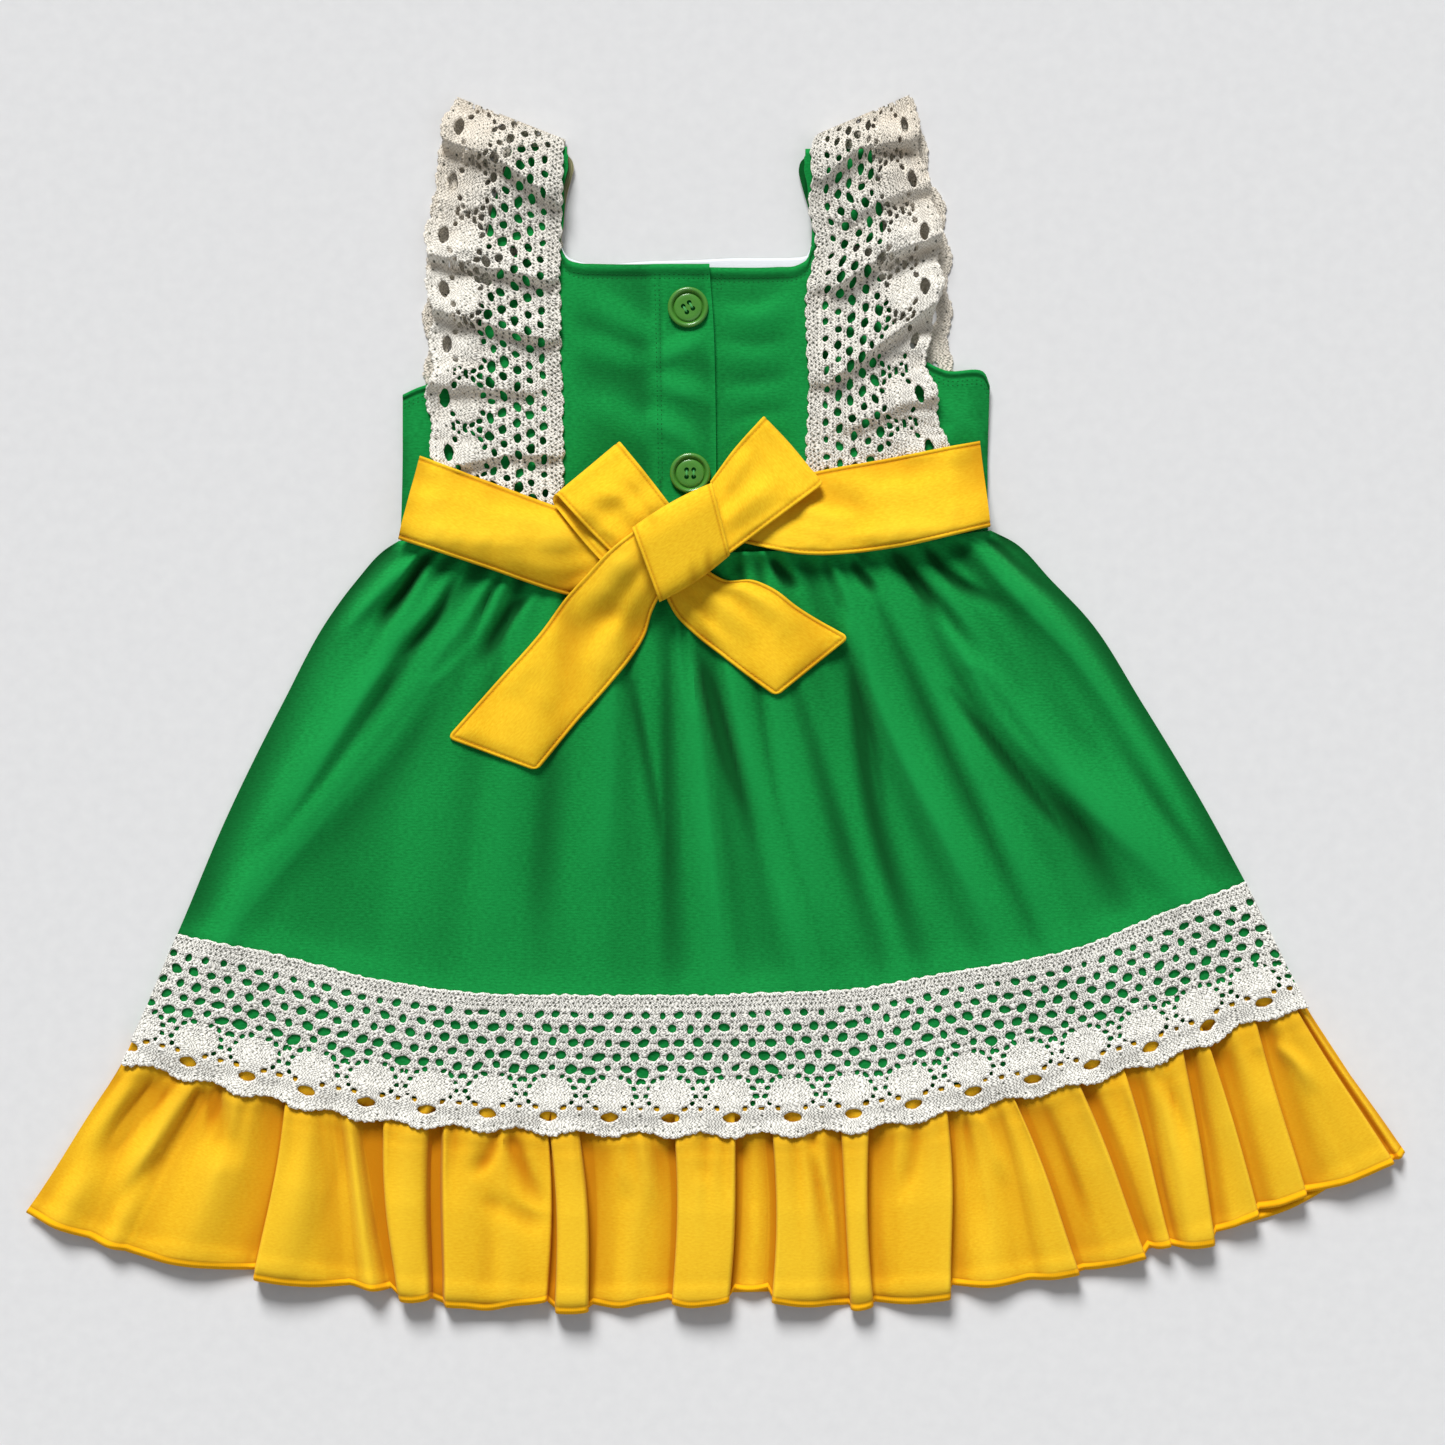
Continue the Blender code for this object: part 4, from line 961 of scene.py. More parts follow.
class ThreadGroup(EffectGroup):
    """Cotton thread plaited in a small basket weave: height, painted shade on its low parts, and gaps."""

    title = "cotton thread"
    takes = (("Place", "Vector", None), ("Thread", "Float", 1.0))
    gives = (("Height", "Float"), ("Shade", "Float"), ("Gap", "Float"))

    def wire(self, work: Tree, source: bpy.types.NodeOutputs) -> dict[str, Socket]:
        """Fill the group.

        Args:
            work: The group's tree.
            source: Place on the cloth, and the thread's size.

        Returns:
            A socket for each output.
        """
        scale = work.math("DIVIDE", 1000.0, source["Thread"])
        place = work.node("VectorMath", {0: source["Place"], "Scale": scale}, operation="SCALE").outputs[0]
        sway = work.node("TexNoise", {"Vector": place, "Scale": 0.28, "Detail": 1.0}).outputs[1]
        bent = work.node("VectorMath", {0: sway, 1: (3.2, 3.2, 0.0), 2: place}, operation="MULTIPLY_ADD")
        parts = work.node("SeparateXYZ", {0: bent.outputs[0]}).outputs
        one, two = work.math("ADD", parts[0], parts[1]), work.math("SUBTRACT", parts[0], parts[1])
        over, under = (work.math("ABSOLUTE", work.math("SINE", work.math("MULTIPLY", value, math.pi)))
                       for value in (one, two))
        cells = work.node("CombineXYZ", {0: one, 1: two}).outputs[0]
        turn = work.node("TexChecker", {"Vector": cells, "Scale": 1.0}).outputs[1]
        back = work.math("MULTIPLY", under, work.math("SUBTRACT", 1.0, turn))
        plait = work.math("ADD", work.math("MULTIPLY", over, turn), back)
        fibres = {"Vector": place, "Scale": 2.6, "Detail": 2.0, "Roughness": 0.55, "Distortion": 0.4}
        fibre = work.node("TexNoise", fibres).outputs[0]
        height = work.math("MULTIPLY_ADD", fibre, 0.35, work.math("MULTIPLY", plait, 0.8))
        loose = work.node("TexNoise", {"Vector": place, "Scale": 0.6, "Detail": 2.0}).outputs[0]
        open_up = work.math("MULTIPLY_ADD", loose, -1.2, work.math("MAXIMUM", over, under))
        # Shade is painted shade, darker where the plait is low; Gap marks openings that are painted dark as
        # shade
        return {"Height": height, "Shade": work.range(height, 0.2, 0.85, 0.0, 1.0),
                "Gap": work.range(open_up, -0.55, -0.25, 1.0, 0.0)}


@dataclass(frozen=True)
class Finish:
    """A named material: what goes into each socket of its shader."""

    name: str

    def material(self) -> bpy.types.Material:
        """Build the material.

        Returns:
            The material.
        """
        material = bpy.data.materials.new(self.name)
        material.use_nodes = True
        work = Tree(material.node_tree)
        work.feed(material.node_tree.nodes["Principled BSDF"], self.sockets(work))
        return material

    def sockets(self, work: Tree) -> Inputs:
        """Work out what goes into the shader.

        Args:
            work: The material's tree.

        Returns:
            Value or socket for each input.
        """
        raise NotImplementedError


@dataclass(frozen=True)
class JerseyFinish(Finish):
    """Cotton jersey with a fine knit, a little nap and uneven dye; the edge tone is its overlock, the shade
    tone painted shade and the crest tone a painted highlight.
    """

    light: Colour
    deep: Colour
    edge: Colour
    # painted shade colour for hollows, seams and marked shadow
    shade: Colour
    # painted highlight colour for crests
    crest: Colour
    # share of painted shade at a fully marked hollow
    hollow: float = 0.9
    column: float = 0.9
    stitch: float = 0.75
    grain: float = 0.45
    sheen: float = 0.03
    bump: float = 0.14

    def sockets(self, work: Tree) -> Inputs:
        """Work out what goes into the shader.

        Args:
            work: The material's tree.

        Returns:
            Value or socket for each input.
        """
        place = work.node("UVMap", uv_map="cloth").outputs[0]
        knit = KnitGroup().use(work, {"Place": place, "Column": self.column, "Stitch": self.stitch})
        tone = {"Light": self.light, "Deep": self.deep, "Shade": knit["Shade"], "Grain": self.grain}
        # painted highlight on the crests
        colour = work.mix(work.mark("crest"), MottleGroup().use(work, tone)["Color"], self.crest)
        # painted shade in the hollows, seams and marked shadow
        colour = work.mix(work.math("MULTIPLY", work.mark("crease"), self.hollow), colour, self.shade)
        edge = work.mark("overlock")
        wrap = work.node("TexWave", {"Vector": place, "Scale": 300.0, "Distortion": 1.5, "Detail": 1.0},
                         wave_type="BANDS", bands_direction="X").outputs["Fac"]
        thread = work.mix(work.math("MULTIPLY", wrap, 0.55), self.edge, self.deep)
        height = work.math("MULTIPLY_ADD", work.math("MULTIPLY", wrap, edge), 1.5, knit["Height"])
        bump = work.node("Bump", {"Height": height, "Strength": self.bump, "Distance": 0.0004})
        return {"Base Color": work.mix(edge, colour, thread), "Normal": bump.outputs[0], "Roughness": 0.9,
                "Sheen Weight": self.sheen, "Sheen Roughness": 0.5, "Specular IOR Level": 0.1}


@dataclass(frozen=True)
class LaceFinish(Finish):
    """Cream cotton crochet: packed thread, with painted shade in its pinholes, in the gaps between threads
    and in its hollows.
    """

    light: Colour
    deep: Colour
    # painted shade colour, and the near-black painted shade of pinholes and gaps
    shade: Colour
    pin: Colour
    thread: float = 1.8
    bump: float = 0.9

    def sockets(self, work: Tree) -> Inputs:
        """Work out what goes into the shader.

        Args:
            work: The material's tree.

        Returns:
            Value or socket for each input.
        """
        place = work.node("UVMap", uv_map="cloth").outputs[0]
        thread = ThreadGroup().use(work, {"Place": place, "Thread": self.thread})
        tone = {"Light": self.light, "Deep": self.deep, "Shade": thread["Shade"], "Grain": 0.65}
        colour = MottleGroup().use(work, {**tone, "Patch": 30.0})["Color"]
        # painted shade: hollows, seams and doubled lace mix toward the shade colour
        colour = work.mix(work.math("MULTIPLY", work.mark("crease"), 0.8), colour, self.shade)
        # painted shade: pinholes and the gaps between threads darken toward the pin colour
        holes = work.range(work.mark("pin"), 0.4, 0.75, 0.0, 0.9)
        dark = work.math("MAXIMUM", holes, work.math("MULTIPLY", thread["Gap"], 0.45))
        height = work.math("SUBTRACT", thread["Height"], work.math("MULTIPLY", dark, 0.8))
        bump = work.node("Bump", {"Height": height, "Strength": self.bump, "Distance": 0.0005})
        return {"Base Color": work.mix(dark, colour, self.pin), "Normal": bump.outputs[0],
                "Roughness": 0.92, "Sheen Weight": 0.15, "Specular IOR Level": 0.2}


@dataclass(frozen=True)
class ThreadFinish(Finish):
    """Sewing thread."""

    colour: Colour
    # tone of the painted shade where the plait is low
    dark: float = 0.6

    def sockets(self, work: Tree) -> Inputs:
        """Work out what goes into the shader.

        Args:
            work: The material's tree.

        Returns:
            Value or socket for each input.
        """
        place = work.node("TexCoord").outputs["Object"]
        thread = ThreadGroup().use(work, {"Place": place, "Thread": 0.5})
        # painted shade: the thread darker where its plait is low
        deep = [value * self.dark for value in self.colour]
        return {"Base Color": work.mix(thread["Shade"], deep, self.colour), "Roughness": 0.8,
                "Sheen Weight": 0.05, "Specular IOR Level": 0.15}


@dataclass(frozen=True)
class ButtonFinish(Finish):
    """Glossy moulded plastic with faint clouding."""

    light: Colour
    deep: Colour

    def sockets(self, work: Tree) -> Inputs:
        """Work out what goes into the shader.

        Args:
            work: The material's tree.

        Returns:
            Value or socket for each input.
        """
        tone = {"Light": self.light, "Deep": self.deep, "Patch": 120.0}
        cloud = work.node("TexNoise", {"Scale": 220.0, "Detail": 3.0}).outputs[0]
        return {"Base Color": MottleGroup().use(work, tone)["Color"],
                "Roughness": work.range(cloud, 0.3, 0.7, 0.2, 0.32), "Coat Weight": 0.3,
                "Coat Roughness": 0.08}


@dataclass(frozen=True)
class FloorFinish(Finish):
    """Plain pale floor."""

    def sockets(self, work: Tree) -> Inputs:
        """Work out what goes into the shader."""
        cloud = work.node("TexNoise", {"Scale": 900.0, "Detail": 2.0}).outputs[0]
        return {"Base Color": work.mix(cloud, (0.70, 0.70, 0.705), (0.77, 0.77, 0.77)), "Roughness": 0.95}


@dataclass(frozen=True)
class Stitches:
    """Rows of sewn stitches: short rounded threads along a line."""

    pitch: float = 2.3
    size: float = 1.6
    radius: float = 0.28
    sunk: float = 0.14
    sides: int = 6
    profile: Rows = (
        # part of the half length, girth, how much it dives
        (-1.0, 0.05, 1.6), (-0.8, 0.7, 0.6), (-0.35, 1.0, 0.0), (0.35, 1.0, 0.0), (0.8, 0.7, 0.6),
        (1.0, 0.05, 1.6))

    def row(self, line: Grid) -> Grid:
        """Sew along a line.

        Args:
            line: Points of the line on the cloth.

        Returns:
            Points of the stitches, in rings round them.
        """
        steps = running(line)
        count = max(1, int(steps[-1] / self.pitch))
        at = (np.arange(count) + 0.5) * steps[-1] / count
        start, end = (np.column_stack([np.interp(at + reach, steps, line[:, k]) for k in range(3)])
                      for reach in (-self.size / 2, self.size / 2))
        middle, ahead = (start + end) / 2, end - start
        ahead /= np.maximum(norm(ahead, axis=1, keepdims=True), 1e-6)
        side = np.cross([0.0, 0.0, 1.0], ahead)
        side /= np.maximum(norm(side, axis=1, keepdims=True), 1e-6)
        reach, girth, dive = np.array(self.profile).T[..., None]
        turns = np.arange(self.sides) * 2 * math.pi / self.sides
        lift = girth * np.sin(turns) * self.radius - dive * self.radius - self.sunk
        rings = (middle[:, None, None] + ahead[:, None, None] * (reach * self.size / 2)[..., None]
                 + side[:, None, None] * (girth * np.cos(turns))[..., None] * self.radius
                 + np.cross(ahead, side)[:, None, None] * lift[..., None])
        return rings.reshape(-1, 3)

    def mesh(self, name: str, lines: Sequence[Grid]) -> Piece:
        """Sew several lines as one piece.

        Args:
            name: Of the piece.
            lines: Lines of points on the cloth.

        Returns:
            The piece.
        """
        points = np.vstack([self.row(line) for line in lines])
        each = len(self.profile) * self.sides
        faces = ring_faces(len(self.profile), self.sides) + np.arange(0, len(points), each)[:, None, None]
        return make_mesh(name, points, faces.reshape(-1, 4), crease=180.0)


@dataclass
class Workroom:
    """The bed that the dress is laid on, and the materials in use."""

    bed: Bed
    materials: dict[Slot, bpy.types.Material]
    threads: dict[Slot, bpy.types.Material]

    def dress(self, item: Piece, slot: Slot, node: str = "", thread: bool = False) -> Piece:
        """Give a piece its finish and its place in the part.

        Args:
            item: The piece.
            slot: Its material slot.
            node: The solid that it stands for.
            thread: Whether it is sewing thread.

        Returns:
            The piece.
        """
        item.data.materials.append((self.threads if thread else self.materials)[slot])
        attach(item, "root")
        if node:
            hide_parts(node)
        LOG.info("%s: %d faces", item.name, len(item.data.polygons))
        return item

    def finish(self, cloth: Cloth, names: Sequence[str], slot: Slot, held: Held,
               rests_on: Sequence[str] = (), closed: bool = True, lines: Sequence[Grid] = (),
               sewn: Stitches = Stitches(), thread: str = "") -> None:
        """Make the piece of a laid cloth, sew on its stitches and state its flat cut.

        Args:
            cloth: The cloth.
            names: Of the piece and of the solid that it stands for.
            slot: Its material slot.
            held: How it is held; not used.
            rests_on: Solids that it lies on; not used.
            closed: Whether its lower face is made.
            lines: Lines of stitches on it.
            sewn: Their size.
            thread: Start of the stitches' name, if it isn't the piece's.
        """
        name, node = names
        item = self.dress(cloth.mesh(name, closed), slot, node)
        if len(lines):
            stitches = sewn.mesh(f"{thread or name}_stitches", lines)
            self.dress(stitches, slot, thread=True)


@dataclass(frozen=True)
class LacePattern:
    """Crochet lace: a header, rows of net, fans, an eyelet over each scallop and a braided edge.

    Places on the lace are u along it and v from its scalloped edge to its header.
    """

    width: float = BAND_WIDTH
    pitch: float = 29.6
    first: float = 30.0
    count: int = 19
    depth: float = 1.5
    picot: float = 3.7
    net_pitch: float = 9.3
    header_wave: float = 7.4
    header_depth: float = 0.35
    open_part: float = 1.0
    seed: int = 5
    fan_middle: float = 14.5
    fan_radius: float = 11.5
    braid_top: float = 6.5
    cord: float = 0.25
    pin_depth: float = 0.35
    net: Rows = (
        # v, width, height
        (58.0, 4.9, 3.5), (51.2, 5.7, 4.2), (44.4, 5.9, 4.3), (37.6, 5.9, 4.4), (31.0, 5.9, 4.2))
    fan: Rows = (
        # u from the eyelet, v, width, height, turn
        (4.6, 27.3, 3.4, 2.4, 25), (8.7, 25.7, 3.6, 2.4, -40), (11.2, 22.0, 3.5, 2.1, -25),
        (12.5, 18.2, 3.2, 2.2, -10), (10.6, 14.9, 2.4, 2.1, 30), (6.9, 12.5, 3.3, 2.4, 25),
        (13.7, 25.4, 3.2, 2.2, 60), (14.3, 12.4, 2.3, 1.9, 0))
    net_holes: Rows = ((66.0, 0.5), (64.0, 1.9), (62.0, 0.2))  # v, start
    fan_holes: Rows = ((12.4, 11), (10.1, 14), (7.7, 19), (5.2, 30))  # radius, step

    def middles(self) -> list[float]:
        """Places of the eyelets along the lace."""
        return [self.first + k * self.pitch for k in range(-1, self.count + 1)]

    def openings(self, run: float) -> Grid:
        """List the open holes.

        Args:
            run: Length of the lace.

        Returns:
            Rows of u, v, half width, half height and turn.
        """
        chance = np.random.default_rng(self.seed)
        scale = self.width / BAND_WIDTH
        rows: list[tuple[float, ...]] = []
        for k, (v, wide, high) in enumerate(self.net):
            for u in np.arange(2.0 + (k % 2) * self.net_pitch / 2, run - 1.0, self.net_pitch):
                shift, lift, grow, squeeze, turn = chance.uniform(-1, 1, 5)
                pinch = chance.choice([0.7, 0.88, 1.0, 1.0, 1.14])
                near = 0.0
                if k == len(self.net) - 1:
                    near = math.cos(2 * math.pi * (u - self.first) / self.pitch)
                rows.append((u + 0.7 * shift, (v + 0.5 * lift + 0.9 * near) * scale,
                             self.open_part * wide * pinch * (1 + 0.12 * grow - 0.22 * near) / 2,
                             self.open_part * high * (1 + 0.14 * squeeze - 0.22 * near) / 2, 0.5 * turn))
        for middle in self.middles():
            for mirror in (-1, 1):
                for u, v, wide, high, turn in self.fan:
                    grow, lean = chance.uniform(-1, 1, 2)
                    rows.append((middle + mirror * u, v * scale, wide * (1 + 0.15 * grow) / 2, high / 2,
                                 mirror * math.radians(turn) + 0.25 * lean))
            rows.append((middle, 8.0 * scale, 4.5, 2.4, 0.08 * chance.uniform(-1, 1)))
        return np.array([row for row in rows if -2 < row[0] < run + 2])

    def pinholes(self, run: float) -> Grid:
        """List the pinholes.

        Args:
            run: Length of the lace.

        Returns:
            Rows of u, v and radius.
        """
        chance = np.random.default_rng(self.seed + 1)
        scale = self.width / BAND_WIDTH
        rows = [(u, v * scale, 0.68) for v, start in self.net_holes for u in np.arange(start, run, 2.7)]
        for k, (v, _, _) in enumerate(self.net):
            offset = 2.0 + ((k + 1) % 2) * self.net_pitch / 2
            rows += [(u + shift, (v + (0.0 if k else 0.4)) * scale, 0.64)
                     for u in np.arange(offset, run, self.net_pitch) for shift in (-0.8, 0.9)]
            rows += [(u + shift, (v - 3.4) * scale, 0.6) for shift in (-0.9, 0.9)
                     for u in np.arange(offset - self.net_pitch / 4, run, self.net_pitch / 2)]
        for middle in self.middles():
            rows += [(middle + radius * math.cos(turn),
                      (self.fan_middle + 0.95 * radius * math.sin(turn)) * scale, 0.48)
                     for radius, step in self.fan_holes for turn in np.radians(np.arange(12, 170, step))]
            rows += [(middle + self.pitch / 2, v * scale, 0.7) for v in (9.0, 16.5, 20.0)]
        rows += [(u, (2.6 - self.depth * math.cos(2 * math.pi * (u - self.first) / self.pitch)) * scale, 0.6)
                 for u in np.arange(1.0, run, 4.3)]
        places = np.array(rows)
        places[:, :2] += chance.uniform(-0.4, 0.4, (len(places), 2))
        places[:, 2] *= chance.uniform(0.75, 1.15, len(places))
        return places

    def weave(self, run: float, step: float) -> tuple[Grid, Grid, Grid, Mask, Grid]:
        """Work out the lace on a fine grid, its outline drawn in to the threads' edges.

        Args:
            run: Length of the lace.
            step: Size of the grid's cells.

        Returns:
            u, v, distance inside the threads, the cells that are thread, and the pinholes' mark.
        """
        along = np.linspace(0, run, int(run / step) + 1)
        across = np.linspace(-self.depth - 1.6, self.width + 1.0, int((self.width + 4.6) / step) + 1)
        u, v = np.meshgrid(along, across)
        wave = Unevenness(self.seed)
        edge = (-self.depth * np.cos(2 * math.pi * (u - self.first) / self.pitch)
                - 0.65 * np.abs(np.sin(math.pi * u / self.picot)) ** 0.7
                - 0.6 * np.abs(np.sin(math.pi * u / (2 * self.picot))) ** 0.7 + 0.6)
        crest = np.abs(np.sin(math.pi * (u + 2.0 * wave.at(u / 7, 0 * u)) / self.header_wave)) ** 0.8
        header = self.width + self.header_depth * (2 * crest - 1.5 + 0.6 * wave.at(u / 16, 0 * u + 3))
        inside = np.minimum(v - edge, header - v)
        for row in self.openings(run):
            stamp_opening(inside, along, across, row)
        inside += 0.32 * wave.at(u / 1.7, v / 1.7)
        pin = np.zeros(u.shape)
        for middle_u, middle_v, radius in self.pinholes(run):
            part = window(along, across, middle_u, middle_v, 2.5 * radius)
            far = np.hypot(u[part] - middle_u, v[part] - middle_v)
            pin[part] = np.maximum(pin[part], 1 - ramp(far, 0.3 * radius, 1.7 * radius))
        held = inside > 0
        keep = held[:-1, :-1] | held[:-1, 1:] | held[1:, 1:] | held[1:, :-1]
        slope_v, slope_u = np.gradient(inside, across, along)
        push = np.where(inside < 0, -inside / np.maximum(slope_u ** 2 + slope_v ** 2, 0.2), 0.0)
        move_u, move_v = push * slope_u, push * slope_v
        far = np.maximum(np.hypot(move_u, move_v) / (1.15 * (along[1] - along[0])), 1.0)
        return np.clip(u + move_u / far, along[0], along[-1]), v + move_v / far, inside, keep, pin

    def cloth(self, foot: Points, head: Points, step: float, folds: Points = ()) -> Cloth:
        """Map the lace between two edges.

        Args:
            foot: Line of the scalloped edge.
            head: Line of the header.
            step: Size of the cells.
            folds: Folds that it makes.

        Returns:
            The cloth.
        """
        run = length(foot)
        u, v, inside, keep, pin = self.weave(run, step)
        part = (v / self.width)[:, :, None]
        plan = path(foot, u / run) * (1 - part) + path(head, u / run) * part
        fan_u = np.abs((u - self.first + self.pitch / 2) % self.pitch - self.pitch / 2)
        radius = np.hypot(fan_u, v * BAND_WIDTH / self.width - self.fan_middle)
        in_fan = ramp(self.fan_radius - radius, 0, 2) * ramp(v, 13, 15)
        cords = self.cord * ridge(inside, 0.9, 0.6) + 0.14 * in_fan * (1 + np.cos(radius * 2.6))
        braid = self.cord * ramp(self.braid_top - v, 0, 2) * np.abs(np.sin(math.pi * u / self.picot))
        rounded = LACE * 0.6 * (ramp(inside, -0.1, 0.75) - 1)
        drape = np.zeros(u.shape)
        if len(folds):
            cloud = Unevenness(self.seed + 9)
            loose = 0.4 + 1.6 * (1 - np.clip(v / self.width, 0, 1))
            crumple = 0.8 * (1 + cloud.over(plan, 17, 8.5)) + 0.35 * cloud.over(plan, 6, 4)
            drape = folds_over(plan, folds, onset=0.12, fade=-0.2) + loose * crumple
        # painted shade in the hollows of the drape
        hollow = soften(soften(drape, NO_FLOOR, 60) - drape, NO_FLOOR, 4)
        relief = rounded + cords + braid - self.pin_depth * pin + drape
        # the pin mark paints the pinholes dark: painted shade seen through them
        return Cloth(plan, np.dstack([u, v]), LACE, relief, keep, fall=0.3, passes=14,
                     marks={"pin": pin, "crease": np.clip(hollow / 4.0, 0, 0.6)})


def window(along: Grid, across: Grid, u: float, v: float, reach: float) -> tuple[slice, slice]:
    """Rows and columns of a grid within reach of a place."""
    spans = (np.searchsorted(across, [v - reach, v + reach]), np.searchsorted(along, [u - reach, u + reach]))
    return slice(*map(int, spans[0])), slice(*map(int, spans[1]))


def stamp_opening(inside: Grid, along: Grid, across: Grid, row: Grid, power: float = 1.75) -> None:
    """Cut one oval hole into a grid of distances inside the threads.

    Args:
        inside: The grid, changed in place.
        along: u of its columns.
        across: v of its rows.
        row: u, v, half width, half height and turn of the hole.
        power: How square the oval is.
    """
    u, v, half_wide, half_high, turn = row
    part = window(along, across, u, v, max(half_wide, half_high) + 3.0)
    x, y = np.meshgrid(along[part[1]] - u, across[part[0]] - v)
    x, y = x * math.cos(turn) + y * math.sin(turn), y * math.cos(turn) - x * math.sin(turn)
    a, b = np.abs(x) / half_wide, np.abs(y) / half_high
    ring = (a ** power + b ** power) ** (1 / power)
    slope = np.maximum(np.hypot(x / half_wide ** 2, y / half_high ** 2), 0.05)
    inside[part] = np.minimum(inside[part], ring * (ring - 1) / slope)


@dataclass
class HemLace:
    """The lace band over the skirt's lower edge, on one side of the dress."""

    room: Workroom
    side: Side
    step: float
    seed: int

    def make(self) -> None:
        """Make the band."""
        cloth = LacePattern(seed=self.seed).cloth(BAND_FOOT, BAND_TOP, self.step).lay(self.room.bed)
        names = f"hem_crochet_{self.side.value}", f"hem_lace_{self.side.value}"
        below = ["skirt_back", "hem_ruffle_back"] if self.side is Side.BACK else []
        self.room.finish(cloth, names, Slot.LACE, Held.LAID, below, closed=False)


@dataclass
class ShoulderLace:
    """One half of the lace flutter over a strap: the back half or, under it, the front half."""

    room: Workroom
    side: Side
    layer: Side
    inner: Points
    outer: Points
    seed: int
    open_part: float = 0.92
    step: float = 0.64
    folds: Points = ()
    eyelets: int = 7
    end_space: float = 14.0
    pitch: float = 26.5
    net_pitch: float = 8.6
    header_depth: float = 0.7
    # painted shade of the doubled lace: a share all over, and more toward the fluttering edge and the fold
    painted_doubled_shade: tuple[float, float] = (0.14, 0.36)
    # painted shade on the front half's upper face, which shows through the back half's holes
    front_painted_shade: float = 0.45
    fold_drop: float = 12.0
    fold_roll: float = 1.5

    def make(self) -> None:
        """Make the half."""
        back = self.layer is Side.BACK
        foot, head = list(self.outer)[::-1], list(self.inner)[::-1]
        width = length([head[0], foot[0]])
        last = length(foot) - self.end_space
        pitch = min(self.pitch, (last - self.end_space) / (self.eyelets - 1))
        first = last - pitch * (self.eyelets - (1 if back else 1.5))
        pattern = LacePattern(width, pitch, first, self.eyelets, net_pitch=self.net_pitch,
                              header_depth=self.header_depth, open_part=self.open_part, seed=self.seed)
        cloth = pattern.cloth(foot, head, self.step, self.folds)
        if back:
            to_fold = norm(cloth.plan - cloth.plan[:, -1:], axis=2)
            cloth.relief = cloth.relief * ramp(to_fold, -2.0, self.fold_drop)
            cloth.pinned = to_fold < self.fold_roll
            # painted shade where the lace lies doubled, toward the fluttering edge and the fold
            near, far = self.painted_doubled_shade
            doubled_lace_shade = near + far * ramp(-cloth.cut[..., 1] / width - to_fold / 90, -1.2, -0.2)
            cloth.marks["crease"] = np.clip(cloth.marks["crease"] + doubled_lace_shade, 0, 0.8)
        else:
            # painted shade on the upper face of the front half, seen through the holes above it
            shaded = np.full(cloth.plan.shape[:2], self.front_painted_shade)
            cloth.marks["crease"] = np.stack([shaded, 0 * shaded])
        names = [f"shoulder_{kind}_{self.side.value}_{self.layer.value}" for kind in ("crochet", "lace")]
        below = [f"{self.layer.value}_bodice_{self.side.value}"] if back else []
        self.room.finish(cloth.lay(self.room.bed), names, Slot.LACE, Held.GATHERED, below, closed=False)


def band_edge(rise: float) -> Edge:
    """Give the curve across the lace band, rise above its lower edge."""
    part = rise / BAND_WIDTH
    return lambda fractions: path(BAND_FOOT, fractions) * (1 - part) + path(BAND_TOP, fractions) * part


@dataclass
class Skirt:
    """A panel of the gathered skirt: a flat front, or a back with long soft folds."""

    room: Workroom
    side: Side
    cells: tuple[int, int]
    loft: float = 4.2
    side_fade: float = 0.05
    gathers: int = 25
    gather_height: float = 4.0
    gather_reach: float = 0.26

    def gather(self, u: Grid, v: Grid, seed: int) -> Grid:
        """Height of the short gathers that run down from the waist seam.

        Args:
            u: Part of the way across.
            v: Part of the way down.
            seed: Picks their sizes.

        Returns:
            Height at each point.
        """
        chance = np.random.default_rng(seed)
        height = np.zeros(u.shape)
        for k in range(self.gathers):
            shift, size, reach, thin = chance.uniform(0, 1, 4)
            middle = (k + 0.2 + 0.6 * shift) / self.gathers
            width = (0.22 + 0.16 * thin) / self.gathers * (1 + 2.2 * v)
            fade = np.exp(-(v / (self.gather_reach * (0.35 + reach))) ** 1.3)
            fold = self.gather_height * (0.45 + 0.55 * size) * fade * ridge(u, middle, width)
            height = np.maximum(height, fold)
        return height

    def make(self) -> None:
        """Make the panel."""
        back, side = self.side is Side.BACK, self.side.value
        seam = band_edge(SEAM_RISE)
        ends = seam(np.array([0.0, 1.0])).tolist()
        plan = patch([*SKIRT_LEFT, ends[0]], [*SKIRT_RIGHT, ends[1]], lambda parts: path(WAIST, parts), seam,
                     self.cells)
        v, u = np.meshgrid(*(np.linspace(0, 1, count + 1) for count in self.cells), indexing="ij")
        inside = ramp(u, 0, self.side_fade) * ramp(1 - u, 0, self.side_fade)
        relief = 0.5 * self.gather(u, v, 3) * inside
        if back:
            cloud = Unevenness(11)
            soft = (1.1 * cloud.at(u * 9, v * 1.6) + 0.5 * cloud.at(u * 21 + 7, v * 2.6 + 3)
                    + 0.16 * cloud.at(u * 47 + 5, v * 11 + 1))
            folds = folds_over(plan, SKIRT_FOLDS, past_end=0.5)
            gathers = self.gather(u, v, 2) * (1 - 0.6 * ramp(folds, 2, 5))
            relief = (self.loft + folds + gathers + soft * ramp(v, 0.0, 0.2)) * inside
            relief = np.maximum(relief, 0.0) * (1 - 0.75 * ramp(v, 0.8, 0.98))
        # painted shade in the hollows of the folds and painted highlight on their crests
        cloth = Cloth(plan, plan.copy(), relief=relief).lay(self.room.bed).paint_fold_shade_and_highlight(2.6)
        self.room.finish(cloth, (f"skirt_cloth_{side}", f"skirt_{side}"), Slot.GREEN, Held.GATHERED,
                         ["skirt_front"] if back else [], closed=not back)


